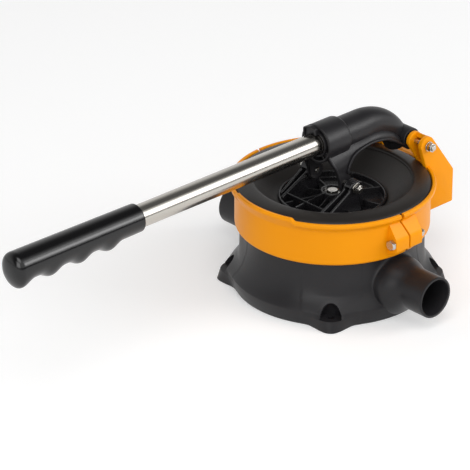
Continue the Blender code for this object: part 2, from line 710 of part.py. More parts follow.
def band_profile():
    """Section of the clamp band: inward flange, rounded shoulder, wall and outward rim."""
    shoulder = arc((BAND_RADIUS - BAND_SHOULDER, BAND_BOTTOM + BAND_SHOULDER), BAND_SHOULDER, 0, -90, 3)
    return ([(RIM_INNER, BAND_TOP), (RIM_RADIUS, BAND_TOP), (RIM_RADIUS, BAND_TOP - RIM_HEIGHT),
             (BAND_RADIUS, BAND_TOP - RIM_HEIGHT - RIM_REACH)]
            + shoulder
            + [(SKIRT_RUBBER_INNER + FIT_GAP, BAND_BOTTOM), (SKIRT_RUBBER_INNER + FIT_GAP, BAND_BOTTOM + BAND_FLANGE),
               (BAND_INNER, BAND_BOTTOM + BAND_FLANGE), (BAND_INNER, RIM_SEAT_Z), (RIM_INNER, RIM_SEAT_Z)])


def tangent_turn(point, middle, radius):
    """Angle in degrees at which a line from a point touches a circle on its upper side."""
    across, up = point[0] - middle[0], point[1] - middle[1]
    return math.degrees(math.atan2(up, across) + math.acos(radius / math.hypot(across, up)))


def bracket_outline():
    """Side view of a bracket cheek: round eye, chamfered back, foot on the band."""
    eye, corner = (PIVOT_X, PIVOT_Z), (BRACKET_REACH, BRACKET_CHAMFER_HEIGHT)
    return ([(BRACKET_REACH, BRACKET_BOTTOM), corner]
            + arc(eye, BRACKET_EYE_RADIUS, tangent_turn(corner, eye, BRACKET_EYE_RADIUS), 180)
            + [(BRACKET_FOOT_X, BRACKET_FOOT_Z), (BRACKET_FOOT_X, BRACKET_BOTTOM)])


def hollow_outline():
    """Side view of a cheek's hollow, which opens to the front, above the eye and below."""
    wall = BRACKET_EDGE_WALL
    eye, corner = (PIVOT_X, PIVOT_Z), (BRACKET_REACH - wall, BRACKET_CHAMFER_HEIGHT - wall / 2)
    inner = BRACKET_EYE_RADIUS - wall
    top = PIVOT_Z + BRACKET_EYE_RADIUS + CUT_OVER
    front = PIVOT_X - BRACKET_EYE_RADIUS - CUT_OVER
    bottom = BRACKET_BOTTOM - CUT_OVER
    return ([(corner[0], bottom), corner] + arc(eye, inner, tangent_turn(corner, eye, inner), HOLLOW_TOP_TURN, 2)
            + [(PIVOT_X, top), (front, top), (front, bottom)])


def clamp_half(name, front):
    """One half of the clamp band; the rear half carries the bracket."""
    half = turned(name, band_profile(), RING_STEPS, loop=True)
    for side in (-1, 1):
        wall, reach = side * (BAND_INNER + FIT_GAP), side * (BAND_RADIUS + CLAMP_LUG_REACH)
        outline = [(wall, CLAMP_LUG_BOTTOM), (reach, CLAMP_LUG_BOTTOM + CLAMP_LUG_SLOPE / 4),
                   (reach, CLAMP_LUG_TOP), (wall, CLAMP_LUG_TOP + CLAMP_LUG_SLOPE)]
        join(half, sheet(f"{name}_lug_{side}", outline[::side], 2 * CLAMP_LUG_HALF_LENGTH, END_VIEW, (0.0, 0.0, 0.0)))
    if not front:
        add_bracket(half)
    size = 4 * RIM_RADIUS
    way = -1 if front else 1
    tilt = Matrix.Rotation(math.radians(-SPLIT_LEAN), 4, "Y")
    push = Matrix.Translation((way * (size + SPLIT_GAP) / 2, 0.0, 0.0))
    keep = block(f"{name}_keep", (-size / 2,) * 3, (size / 2,) * 3)
    keep.matrix_world = Matrix.Translation((SPLIT_MIDDLE_X, 0.0, SPLIT_MIDDLE_HEIGHT)) @ tilt @ push
    boolean(half, keep, "INTERSECT")
    for side in (-1, 1):
        spot = Vector((0.0, side * CLAMP_BOLT_Y, CLAMP_BOLT_HEIGHT))
        reach = Vector((CLAMP_LUG_HALF_LENGTH + CUT_OVER, 0.0, 0.0))
        cut(half, cylinder(f"{name}_bolt_hole_{side}", CLAMP_BOLT_RADIUS + FIT_GAP, spot - reach, spot + reach,
                           BOLT_STEPS))
    return finish(half, ORANGE_NYLON)


def add_bracket(half):
    """Join the two hollow bracket cheeks to the band's rear half and bore them for the pivot."""
    width = BRACKET_HALF_WIDTH - BRACKET_INNER
    hollow_inner = BRACKET_INNER + BRACKET_INNER_WALL
    hollow_outer = BRACKET_HALF_WIDTH - BRACKET_OUTER_WALL
    hollows = []
    for side in (-1, 1):
        middle = side * (BRACKET_INNER + width / 2)
        cheek = sheet(f"bracket_cheek_{side}", bracket_outline(), width, SIDE_VIEW, (0.0, middle, 0.0))
        wall, step, low = BAND_INNER + BAND_WALL / 2, RIM_SEAT_Z - FIT_GAP, BRACKET_BOTTOM - CUT_OVER
        clear = turned(f"bracket_clear_{side}",
                       [(0.0, BRACKET_FOOT_Z), (RIM_INNER + FIT_GAP, BRACKET_FOOT_Z), (RIM_INNER + FIT_GAP, step),
                        (wall, step), (wall, low), (0.0, low)], RING_STEPS, tool=True)
        cut(cheek, clear)
        join(half, cheek)
        hollow_middle = side * (hollow_inner + hollow_outer) / 2
        hollow = sheet(f"bracket_hollow_{side}", hollow_outline(), hollow_outer - hollow_inner, SIDE_VIEW,
                       (0.0, hollow_middle, 0.0))
        keep = turned(f"bracket_keep_{side}",
                      [(0.0, BRACKET_FOOT_Z - FIT_GAP), (RIM_RADIUS, BRACKET_FOOT_Z - FIT_GAP),
                       (RIM_RADIUS, BRACKET_BOTTOM - 2 * CUT_OVER), (0.0, BRACKET_BOTTOM - 2 * CUT_OVER)],
                      RING_STEPS, tool=True)
        cut(hollow, keep)
        hollows.append(hollow)
    cut(half, *hollows)
    reach = Vector((0.0, BRACKET_HALF_WIDTH + CUT_OVER, 0.0))
    spot = Vector((PIVOT_X, 0.0, PIVOT_Z))
    cut(half, cylinder("bracket_pivot_hole", PIVOT_BOLT_RADIUS + FIT_GAP, spot - reach, spot + reach, BOLT_STEPS))


def build_clamp_bolts():
    """Bolt and nut across each split of the band."""
    for label, side in (("outlet", -1), ("inlet", 1)):
        seat = Vector((CLAMP_LUG_HALF_LENGTH + FIT_GAP, 0.0, 0.0))
        spot = Vector((0.0, side * CLAMP_BOLT_Y, CLAMP_BOLT_HEIGHT))
        tail = Vector((FIT_GAP + CLAMP_NUT_HEIGHT + CLAMP_BOLT_TAIL, 0.0, 0.0))
        hex_bolt(f"clamp_bolt_{label}", CLAMP_BOLT_RADIUS, CLAMP_HEAD_ACROSS, CLAMP_HEAD_HEIGHT,
                 spot - seat, spot + seat + tail, STAINLESS)
        hex_nut(f"clamp_nut_{label}", CLAMP_BOLT_RADIUS, CLAMP_HEAD_ACROSS, CLAMP_NUT_HEIGHT,
                spot + seat, (1.0, 0.0, 0.0), STAINLESS)


def diaphragm_profile():
    """Section of the diaphragm: clamped disc, cup, bowl, rolled rim and gripped skirt."""
    cup = PLATE_RADIUS + FIT_GAP
    top = [(CENTRE_HOLE, RUBBER_TOP), (cup, RUBBER_TOP), (cup, BOWL_EDGE_Z)]
    under = [(CENTRE_HOLE, RUBBER_BOTTOM), (cup, RUBBER_BOTTOM), (cup + RUBBER, RUBBER_BOTTOM + RUBBER)]
    for step in range(1, BOWL_STEPS + 1):
        share = step / BOWL_STEPS
        radius = cup + (ROLL_RADIUS - cup) * share
        height = BOWL_EDGE_Z + (ROLL_TOP - BOWL_EDGE_Z) * math.sin(math.pi / 2 * share)
        top.append((radius, height))
        under.append((cup + RUBBER + (SKIRT_RUBBER_INNER - BODY_WALL - cup - RUBBER) * share, height - 2 * RUBBER))
    edge = RIM_INNER - FIT_GAP
    seat = BODY_HEIGHT + FIT_GAP
    under[-1] = (SKIRT_RUBBER_INNER - BODY_WALL, seat)
    rim = []
    for step in range(1, ROLL_STEPS + 1):
        share = step / ROLL_STEPS
        rim.append((ROLL_RADIUS + (edge - ROLL_EDGE_DROP - ROLL_RADIUS) * share,
                    ROLL_EDGE_Z + (ROLL_TOP - ROLL_EDGE_Z) * math.cos(math.pi / 2 * share)))
    rim += [(edge, ROLL_EDGE_Z - ROLL_EDGE_DROP), (edge, RIM_SEAT_Z + FIT_GAP),
            (SKIRT_RUBBER_OUTER, RIM_SEAT_Z + FIT_GAP)]
    low = BAND_BOTTOM + BAND_FLANGE + FIT_GAP
    skirt = [(SKIRT_RUBBER_OUTER, low), (SKIRT_RUBBER_INNER, low), (SKIRT_RUBBER_INNER, seat)]
    return top + rim + skirt + under[::-1]


def build_diaphragm():
    """Rubber diaphragm, gripped between the body's neck and the band."""
    return finish(turned("diaphragm", diaphragm_profile(), RING_STEPS, loop=True), BLACK_RUBBER)


def ear_outline(far_end):
    """Side view of one plate ear: rounded head over the link's slot, a neck, then a slope down to the rim."""
    top = SLOT_RADIUS + EAR_TOP_WALL
    back = LINK_X - LINK_TRAVEL_BACK
    front = LINK_X + LINK_TRAVEL_FORWARD
    low = PLATE_FLOOR_TOP - PLATE_FLOOR / 2
    return ([(front + top, low)] + arc((front, LINK_Z), top, 0, 90) + arc((back, LINK_Z), top, 90, EAR_BACK_TURN)
            + [(back - top - EAR_NECK_REACH, LINK_Z - EAR_NECK_DROP),
               (far_end, PLATE_RIM_HEIGHT + EAR_FOOT_RISE), (far_end, low)])


def link_slot(name):
    """Cutter for the slots that let the link bolts follow the lever's arc."""
    back = (LINK_X - LINK_TRAVEL_BACK, LINK_Z)
    front = (LINK_X + LINK_TRAVEL_FORWARD, LINK_Z)
    outline = arc(front, SLOT_RADIUS, -90, 90, 6) + arc(back, SLOT_RADIUS, 90, 270, 6)
    return sheet(name, outline, 4 * EAR_OUTER_Y, SIDE_VIEW, (0.0, 0.0, 0.0))


def build_plates(empty):
    """Upper plate with hub, ribs and ears, the backing plate and the bolt that clamps them."""
    inner = PLATE_RADIUS - PLATE_RIM_WALL
    profile = [(CENTRE_HOLE, HUB_TOP), (HUB_RADIUS, HUB_TOP), (HUB_RADIUS, PLATE_FLOOR_TOP),
               (inner, PLATE_FLOOR_TOP), (inner, PLATE_RIM_HEIGHT), (PLATE_RADIUS, PLATE_RIM_HEIGHT),
               (PLATE_RADIUS, PLATE_FLOOR_BOTTOM), (CENTRE_HOLE, PLATE_FLOOR_BOTTOM)]
    plate = turned("diaphragm_plate", profile, RING_STEPS, loop=True)
    for number in range(RIB_COUNT):
        turn = Matrix.Rotation(math.tau * (number + 0.5) / RIB_COUNT, 4, "Z")
        start, end = HUB_RADIUS - RIB_WALL, inner + PLATE_RIM_WALL / 2
        rib = block(f"plate_rib_{number}", (start, -RIB_WALL / 2, PLATE_FLOOR_TOP - PLATE_FLOOR / 2),
                    (end, RIB_WALL / 2, RIB_HEIGHT))
        rib.matrix_world = turn @ rib.matrix_world
        join(plate, rib)
    for side in (-1, 1):
        for label, offset in (("inner", EAR_INNER_Y), ("outer", EAR_OUTER_Y)):
            reach = inner + PLATE_RIM_WALL / 2
            far_end = -math.sqrt(reach ** 2 - (offset + EAR_WALL / 2) ** 2)
            join(plate, sheet(f"ear_{label}_{side}", ear_outline(far_end), EAR_WALL, SIDE_VIEW,
                              (0.0, side * offset, 0.0)))
    cut(plate, link_slot("link_slot"))
    finish(plate, BLACK_NYLON)

    backing = turned("backing_plate", [(CENTRE_HOLE, BACKING_TOP), (BACKING_RADIUS, BACKING_TOP),
                                       (BACKING_RADIUS + BACKING_EDGE, BACKING_TOP - BACKING_EDGE),
                                       (BACKING_RADIUS, BACKING_BOTTOM), (CENTRE_HOLE, BACKING_BOTTOM)],
                     RING_STEPS, loop=True)
    finish(backing, BLACK_NYLON)
    up = (0.0, 0.0, 1.0)
    washer_seat = HUB_TOP + FIT_GAP
    nut_seat = washer_seat + WASHER_THICKNESS + FIT_GAP
    ring = washer("centre_washer", CENTRE_WASHER_RADIUS, CENTRE_BOLT_RADIUS, (0.0, 0.0, washer_seat), up, STAINLESS)
    nut = hex_nut("centre_nut", CENTRE_BOLT_RADIUS, CENTRE_HEAD_ACROSS, CENTRE_NUT_HEIGHT, (0.0, 0.0, nut_seat),
                  up, STAINLESS)
    bolt = hex_bolt("centre_bolt", CENTRE_BOLT_RADIUS, CENTRE_HEAD_ACROSS, CENTRE_HEAD_HEIGHT,
                    (0.0, 0.0, BACKING_BOTTOM - FIT_GAP),
                    (0.0, 0.0, nut_seat + CENTRE_NUT_HEIGHT + CENTRE_BOLT_TAIL), STAINLESS)
    hang(empty, plate, backing, ring, nut, bolt)


def arch_point(turn):
    """Middle of the arm and its radius at an angle round the arch, in radians."""
    share = turn / math.radians(ARCH_SWEEP)
    radius = ARM_RADIUS + (TAIL_RADIUS - ARM_RADIUS) * share
    reach = ARCH_OUTER_RADIUS + ARCH_GROWTH * share - radius
    centre_z = ARM_HEIGHT + ARM_RADIUS - ARCH_OUTER_RADIUS
    return ARCH_START_X + reach * math.sin(turn), centre_z + reach * math.cos(turn), radius


def arm_height(across):
    """Height of the arm's middle at a place along X."""
    if across <= ARCH_START_X:
        return ARM_HEIGHT
    turns = [math.radians(ARCH_SWEEP) * step / ARCH_STATIONS for step in range(ARCH_STATIONS + 1)]
    places = [arch_point(turn) for turn in turns]
    for (x_low, z_low, _), (x_high, z_high, _) in zip(places, places[1:]):
        if across <= x_high:
            return z_low + (z_high - z_low) * (across - x_low) / (x_high - x_low)
    return places[-1][1]


def build_arm_tube():
    """Round arm from the socket over the arch to the pivot, as a bevelled curve made a mesh."""
    stations = [(COLLAR_BACK_X, ARM_HEIGHT, ARM_RADIUS)]
    for step in range(ARCH_STATIONS + 1):
        stations.append(arch_point(math.radians(ARCH_SWEEP) * step / ARCH_STATIONS))
    curve = bpy.data.curves.new("arm_tube", "CURVE")
    curve.dimensions = "3D"
    curve.bevel_depth = ARM_RADIUS
    curve.bevel_resolution = 8
    curve.use_fill_caps = True
    spline = curve.splines.new("POLY")
    spline.points.add(len(stations) - 1)
    for place, (across, height, radius) in zip(spline.points, stations):
        place.co = (across, 0.0, height, 1.0)
        place.radius = radius / ARM_RADIUS
    return baked(add_object("arm_tube", curve, True))


def saddle_section(across):
    """Inverted channel that hangs the legs below the arm, as (y, z) points at a place along X."""
    share = max(0.0, (across - LEG_FRONT_X) / (ARCH_CROWN_X - LEG_FRONT_X))
    middle = arm_height(across)
    half = SADDLE_HALF_WIDTH - SADDLE_NARROWING * across
    crown = TAIL_RADIUS * SADDLE_CROWN_SHARE
    drop = SHOULDER_DROP + (SHOULDER_DROP_TAIL - SHOULDER_DROP) * min(1.0, share)
    roof, shoulder = middle - SADDLE_SINK, middle - SADDLE_SINK - drop
    outer = [(-half, SADDLE_LOW_Z), (-half, shoulder), (-crown, roof), (crown, roof), (half, shoulder),
             (half, SADDLE_LOW_Z)]
    inside = half - SADDLE_WALL
    inner = [(inside, SADDLE_LOW_Z), (inside, shoulder - SADDLE_WALL / 2), (crown / 2, roof - SADDLE_WALL),
             (-crown / 2, roof - SADDLE_WALL), (-inside, shoulder - SADDLE_WALL / 2), (-inside, SADDLE_LOW_Z)]
    return outer + inner


def build_saddle():
    """Loft the channel along X, then keep what lies inside the lever's side view."""
    rings = []
    for step in range(SADDLE_STATIONS + 1):
        across = SADDLE_FRONT_X + (SADDLE_BACK_X - SADDLE_FRONT_X) * step / SADDLE_STATIONS
        rings.append([(across, y, z) for y, z in saddle_section(across)])
    saddle = loft("saddle", rings)
    top = ARM_HEIGHT + ARM_RADIUS
    outline = (arc((LINK_X, LINK_Z), LEG_EYE_RADIUS, 200, 400, 8)
               + [(LEG_WAIST_X, LEG_WAIST_Z), (ARCH_RISE_X, ARCH_RISE_Z),
                  (ARCH_CROWN_X, ARCH_CROWN_Z), (ARCH_FALL_X, ARCH_FALL_Z), (ARCH_TAIL_X, ARCH_TAIL_Z),
                  (PIVOT_X, PIVOT_Z), (PIVOT_X, top), (LEG_FRONT_X, top), (LEG_FRONT_X, LEG_FRONT_Z)])
    boolean(saddle, sheet("lever_side_view", outline, 4 * SADDLE_HALF_WIDTH, SIDE_VIEW, (0.0, 0.0, 0.0)),
            "INTERSECT")
    return saddle


def build_lever(empty):
    """Moulded lever: socket collar, arm, legs and pivot eye."""
    middle = Vector((0.0, 0.0, ARM_HEIGHT))
    along = Vector((1.0, 0.0, 0.0))
    across = Vector((0.0, 1.0, 0.0))
    pivot = Vector((PIVOT_X, 0.0, PIVOT_Z))
    lever = cylinder("lever_arm", COLLAR_RADIUS, middle + along * COLLAR_FACE_X,
                     middle + along * (COLLAR_BACK_X + FIT_GAP), TUBE_STEPS, tool=False)
    join(lever, build_arm_tube(), build_saddle(),
         cylinder("pivot_eye", EYE_RADIUS, pivot - across * EYE_HALF_LENGTH, pivot + across * EYE_HALF_LENGTH,
                  TUBE_STEPS))
    link = Vector((LINK_X, 0.0, LINK_Z))
    cut(lever,
        cylinder("pivot_eye_hole", BUSH_RADIUS + FIT_GAP, pivot - across * 2 * EYE_HALF_LENGTH,
                 pivot + across * 2 * EYE_HALF_LENGTH, BOLT_STEPS),
        cylinder("link_hole", LINK_BOLT_RADIUS + FIT_GAP, link - across * 2 * LEG_Y, link + across * 2 * LEG_Y,
                 BOLT_STEPS),
        cylinder("socket_bore", HANDLE_BORE, middle + along * (COLLAR_FACE_X - CUT_OVER),
                 middle + along * SOCKET_END_X, TUBE_STEPS),
        sleeve("socket_groove", COLLAR_RADIUS - COLLAR_WALL, HANDLE_BORE + SLEEVE_WALL,
               middle + along * (COLLAR_FACE_X - CUT_OVER), middle + along * (COLLAR_FACE_X + SOCKET_GROOVE_DEPTH),
               TUBE_STEPS, tool=True))
    finish(lever, BLACK_NYLON)
    hang(empty, lever)


def build_pivot(empty):
    """Pivot bolt with its washers and nut, and the bush that turns on it inside the lever."""
    pivot = Vector((PIVOT_X, 0.0, PIVOT_Z))
    across = Vector((0.0, 1.0, 0.0))
    washer_seat = BRACKET_HALF_WIDTH + FIT_GAP
    seat = washer_seat + WASHER_THICKNESS + FIT_GAP
    hex_bolt("pivot_bolt", PIVOT_BOLT_RADIUS, PIVOT_HEAD_ACROSS, PIVOT_HEAD_HEIGHT, pivot + across * seat,
             pivot - across * (seat + PIVOT_NUT_HEIGHT + PIVOT_BOLT_TAIL), STAINLESS)
    hex_nut("pivot_nut", PIVOT_BOLT_RADIUS, PIVOT_HEAD_ACROSS, PIVOT_NUT_HEIGHT, pivot - across * seat,
            -across, STAINLESS)
    washer("pivot_washer_head", PIVOT_WASHER_RADIUS, PIVOT_BOLT_RADIUS, pivot + across * washer_seat, across,
           STAINLESS)
    washer("pivot_washer_nut", PIVOT_WASHER_RADIUS, PIVOT_BOLT_RADIUS, pivot - across * washer_seat, -across,
           STAINLESS)
    bush = sleeve("pivot_bush", BUSH_RADIUS, PIVOT_BOLT_RADIUS + FIT_GAP, pivot - across * EYE_HALF_LENGTH,
                  pivot + across * EYE_HALF_LENGTH, BOLT_STEPS)
    hang(empty, finish(bush, ACETAL))


def build_links(empty):
    """A bolt, washer and nut through each leg of the lever and its pair of ears."""
    across = Vector((0.0, 1.0, 0.0))
    link = Vector((LINK_X, 0.0, LINK_Z))
    head_seat = LEG_Y - SADDLE_WALL / 2 - FIT_GAP
    washer_seat = EAR_OUTER_Y + EAR_WALL / 2 + FIT_GAP
    nut_seat = washer_seat + WASHER_THICKNESS + FIT_GAP
    for label, side in (("outlet", -1), ("inlet", 1)):
        aim = across * side
        bolt = hex_bolt(f"link_bolt_{label}", LINK_BOLT_RADIUS, LINK_HEAD_ACROSS, LINK_HEAD_HEIGHT,
                        link + aim * head_seat, link + aim * (nut_seat + LINK_NUT_HEIGHT + LINK_BOLT_TAIL), STAINLESS)
        ring = washer(f"link_washer_{label}", LINK_WASHER_RADIUS, LINK_BOLT_RADIUS, link + aim * washer_seat, aim,
                      STAINLESS)
        nut = hex_nut(f"link_nut_{label}", LINK_BOLT_RADIUS, LINK_HEAD_ACROSS, LINK_NUT_HEIGHT,
                      link + aim * nut_seat, aim, STAINLESS)
        hang(empty, bolt, ring, nut)


def grip_radius(travel):
    """Outer radius of the grip at a distance from its mouth."""
    wall = GRIP_MOUTH_WALL + (GRIP_END_WALL - GRIP_MOUTH_WALL) * travel / GRIP_LENGTH
    plain = GRIP_BORE + wall
    into_dome = max(0.0, (travel - GRIP_LENGTH + GRIP_DOME) / GRIP_DOME)
    return plain * math.sqrt(max(0.0, 1.0 - into_dome ** 2))


def build_handle(empty):
    """Steel tube and the grip pushed over its end, with finger bumps along the underside."""
    tube = sleeve("handle_tube", HANDLE_RADIUS, HANDLE_RADIUS - HANDLE_WALL,
                  (HANDLE_END_X, 0.0, ARM_HEIGHT), (SOCKET_END_X - FIT_GAP, 0.0, ARM_HEIGHT), TUBE_STEPS)
    finish(tube, POLISHED_STEEL)

    end_x = GRIP_MOUTH_X - GRIP_LENGTH
    bore_end = HANDLE_END_X - FIT_GAP - end_x
    profile = [(0.0, bore_end), (GRIP_BORE, bore_end), (GRIP_BORE, GRIP_LENGTH)]
    for step in range(GRIP_STATIONS + 1):
        travel = GRIP_LENGTH * step / GRIP_STATIONS
        profile.append((grip_radius(travel), GRIP_LENGTH - travel))
    place = facing((end_x, 0.0, ARM_HEIGHT), (GRIP_MOUTH_X, 0.0, ARM_HEIGHT))
    grip = baked(turned("handle_grip", profile, TUBE_STEPS, place))
    for vertex in grip.data.vertices:
        spot = grip.matrix_world @ vertex.co
        below = ARM_HEIGHT - spot.z
        out = math.hypot(spot.y, below)
        travel = GRIP_MOUTH_X - spot.x
        wave = math.cos(math.tau * (travel - FINGER_FIRST) / FINGER_PITCH)
        first, last = FINGER_FIRST - FINGER_PITCH / 2, FINGER_FIRST + (FINGER_COUNT - 0.5) * FINGER_PITCH
        if out > GRIP_BORE + FIT_GAP and below > 0.0 and first < travel < last:
            share = (below / out) ** 2 * (0.5 + 0.5 * wave)
            spot.z -= FINGER_DEPTH * share
            vertex.co = grip.matrix_world.inverted() @ spot
    finish(grip, BLACK_VINYL)
    hang(empty, tube, grip)


def main():
    """Build every piece."""
    clear_scene()
    build_body()
    build_valve("outlet", -1, outward=True)
    build_valve("inlet", 1, outward=False)
    clamp_half("clamp_ring_front", front=True)
    clamp_half("clamp_ring_rear", front=False)
    build_clamp_bolts()
    build_diaphragm()
    build_plates(joint_empty("plate_slide", (0.0, 0.0, PLATE_FLOOR_TOP)))
    swing = joint_empty("lever_swing", (PIVOT_X, 0.0, PIVOT_Z))
    build_lever(swing)
    build_pivot(swing)
    build_links(swing)
    build_handle(swing)
    bpy.context.view_layer.update()


main()
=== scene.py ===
"""Visual model of a lever diaphragm hand pump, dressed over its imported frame.

All sizes are in millimetres until a shape becomes a mesh, which is in metres. The pump's axis is Z, the
handle points to -X, the bracket stands at +X, the outlet points to -Y and the inlet to +Y.
"""

import logging
import math
from dataclasses import dataclass
from enum import Enum
from typing import Sequence

import bpy
import numpy as np
from mathutils import Matrix, Vector


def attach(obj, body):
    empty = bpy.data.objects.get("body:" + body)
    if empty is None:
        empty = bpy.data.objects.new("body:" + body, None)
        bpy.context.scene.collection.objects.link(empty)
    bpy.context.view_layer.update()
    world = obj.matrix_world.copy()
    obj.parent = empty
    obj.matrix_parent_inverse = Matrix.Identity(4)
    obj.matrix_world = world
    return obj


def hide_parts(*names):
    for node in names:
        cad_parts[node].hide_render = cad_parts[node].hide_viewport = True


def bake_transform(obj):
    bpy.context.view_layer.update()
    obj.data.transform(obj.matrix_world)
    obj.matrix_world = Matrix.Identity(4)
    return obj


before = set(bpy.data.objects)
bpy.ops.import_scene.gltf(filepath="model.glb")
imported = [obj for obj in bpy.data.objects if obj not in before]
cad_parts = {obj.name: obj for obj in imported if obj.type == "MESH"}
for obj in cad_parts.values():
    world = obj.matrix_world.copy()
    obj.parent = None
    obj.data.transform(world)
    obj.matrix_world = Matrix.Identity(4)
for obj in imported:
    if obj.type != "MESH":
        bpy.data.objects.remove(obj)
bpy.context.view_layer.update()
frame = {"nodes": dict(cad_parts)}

MM = 0.001
LOG = logging.getLogger("hand_pump")
Array = np.ndarray
Point = tuple[float, float, float]


class View(Enum):
    """Plane of a flat outline, as the world directions of its own X, Y and thickness."""

    SIDE = ((1.0, 0.0, 0.0), (0.0, 0.0, 1.0), (0.0, -1.0, 0.0))
    END = ((0.0, 1.0, 0.0), (0.0, 0.0, 1.0), (1.0, 0.0, 0.0))
    TOP = ((1.0, 0.0, 0.0), (0.0, 1.0, 0.0), (0.0, 0.0, 1.0))

    def place(self, points: Array, offset: Point = (0.0, 0.0, 0.0)) -> Array:
        """Turn points of the outline's own axes into world points."""
        return points @ np.array(self.value) + np.array(offset)


class Half(Enum):
    """Half of the clamp band, as the sign of the side of X that it lies on."""

    FRONT = -1
    REAR = 1


@dataclass
class Shape:
    """Closed skin before it becomes a mesh: points, four-cornered faces and end caps."""

    points: Array
    quads: Array
    caps: list[Array]

    def volume(self) -> float:
        """Signed volume: the sum of a . (b x c) / 6 over all triangles."""
        corners = self.points[self.quads]
        first = np.concatenate([corners[:, [0, 1, 2]], corners[:, [0, 2, 3]]])
        fans = [np.stack([np.broadcast_to(ring[0], ring[2:].shape), ring[1:-1], ring[2:]], axis=1)
                for ring in (self.points[cap] for cap in self.caps)]
        every = np.concatenate([first] + fans)
        return float(np.einsum("ij,ij->i", every[:, 0], np.cross(every[:, 1], every[:, 2])).sum() / 6)

    def outward(self) -> "Shape":
        """Turn every face over where the skin is inside out."""
        if self.volume() >= 0.0:
            return self
        return Shape(self.points, self.quads[:, ::-1], [cap[::-1] for cap in self.caps])

    def mirrored(self) -> "Shape":
        """The same skin on the other side of the lever's plane, y turned to -y."""
        return Shape(self.points * np.array([1.0, -1.0, 1.0]), self.quads, self.caps).outward()


def joined(shapes: Sequence[Shape]) -> Shape:
    """Put several skins into one.

    Args:
        shapes: the skins, which may overlap.

    Returns:
        One skin with all their points and faces.
    """
    starts = np.cumsum([0] + [len(shape.points) for shape in shapes])
    points = np.concatenate([shape.points for shape in shapes])
    quads = np.concatenate([shape.quads + start for shape, start in zip(shapes, starts)])
    caps = [cap + start for shape, start in zip(shapes, starts) for cap in shape.caps]
    return Shape(points, quads, caps)


def grid(points: Array, along: bool = False) -> Shape:
    """Skin over rows of points whose columns close into a ring.

    Args:
        points: rows x columns x 3.
        along: whether the last row joins the first; otherwise each end row gets a cap.

    Returns:
        The closed skin, facing outwards.
    """
    rows, columns = points.shape[:2]
    index = np.arange(rows * columns).reshape(rows, columns)
    follow = np.roll(index, -1, axis=1)
    if along:
        corners = (index, follow, np.roll(follow, -1, axis=0), np.roll(index, -1, axis=0))
        caps = []
    else:
        corners = (index[:-1], follow[:-1], follow[1:], index[1:])
        caps = [index[0][::-1], index[-1]]
    quads = np.stack(corners, axis=-1).reshape(-1, 4)
    return Shape(points.reshape(-1, 3), quads, caps).outward()


def radial(radius: Array, height: Array, turn: Array, start: Point, aim: Point) -> Array:
    """Points about an axis: start + height along the axis + radius at a turn around it.

    Args:
        radius: rows x columns of distances from the axis.
        height: rows x columns of distances along the axis.
        turn: angle of each column.
        start: where the axis starts.
        aim: direction of the axis.

    Returns:
        Rows x columns x 3.
    """
    ahead = np.array(aim) / np.linalg.norm(aim)
    across = np.cross(ahead, (0.0, 0.0, 1.0) if abs(ahead[2]) < 0.9 else (0.0, -1.0, 0.0))
    across /= np.linalg.norm(across)
    other = np.cross(ahead, across)
    ring = np.cos(turn)[:, None] * across + np.sin(turn)[:, None] * other
    return np.array(start) + radius[..., None] * ring + height[..., None] * ahead


def turned(profile: Array, start: Point = (0.0, 0.0, 0.0), aim: Point = (0.0, 0.0, 1.0), steps: int = 96,
           loop: bool = False) -> Shape:
    """Profile of (radius, height) pairs spun about an axis.

    Args:
        profile: the pairs, in order.
        start: where the axis starts.
        aim: direction of the axis.
        steps: columns around the axis.
        loop: whether the profile closes on itself, as a ring's does.

    Returns:
        The closed skin.
    """
    profile = np.asarray(profile, dtype=float)
    turn = np.arange(steps) * math.tau / steps
    shape = (len(profile), steps)
    return grid(radial(np.broadcast_to(profile[:, :1], shape), np.broadcast_to(profile[:, 1:], shape), turn,
                       start, aim), along=loop)


def rounded(corners: Array, radii: Array | float, steps: int = 6) -> Array:
    """Closed outline whose corners are eased by a quadratic curve between points a radius away.

    Args:
        corners: ... x n x 2, in order.
        radii: reach of each corner's curve, at most 0.48 of the shorter side there.
        steps: pieces of each curve.

    Returns:
        ... x n * (steps + 1) x 2.
    """
    corners = np.asarray(corners, dtype=float)
    back = np.roll(corners, 1, axis=-2) - corners
    ahead = np.roll(corners, -1, axis=-2) - corners
    back_length = np.linalg.norm(back, axis=-1)
    ahead_length = np.linalg.norm(ahead, axis=-1)
    reach = np.minimum(np.asarray(radii, dtype=float), 0.48 * np.minimum(back_length, ahead_length))
    start = corners + back * (reach / back_length)[..., None]
    end = corners + ahead * (reach / ahead_length)[..., None]
    share = np.linspace(0.0, 1.0, steps + 1)[:, None]
    curve = (start[..., None, :] * (1 - share) ** 2 + corners[..., None, :] * 2 * share * (1 - share)
             + end[..., None, :] * share ** 2)
    return curve.reshape(*corners.shape[:-2], -1, 2)


def smooth_line(points: Array, count: int) -> Array:
    """Smooth open line through points: each stretch is the cubic that its four neighbours give."""
    points = np.asarray(points, dtype=float)
    ends = np.vstack([2 * points[0] - points[1], points, 2 * points[-1] - points[-2]])
    spot = np.linspace(0.0, len(points) - 1.0, count)
    first = np.minimum(spot.astype(int), len(points) - 2)
    share = (spot - first)[:, None]
    a, b, c, d = (ends[first + step] for step in range(4))
    return 0.5 * (2 * b + (c - a) * share + (2 * a - 5 * b + 4 * c - d) * share ** 2
                  + (3 * b - a - 3 * c + d) * share ** 3)


def arc(middle: tuple[float, float], radius: float, first: float, last: float, steps: int = 16) -> Array:
    """Points of a flat arc between two angles in degrees."""
    turn = np.radians(np.linspace(first, last, steps))
    return np.stack([middle[0] + radius * np.cos(turn), middle[1] + radius * np.sin(turn)], axis=1)


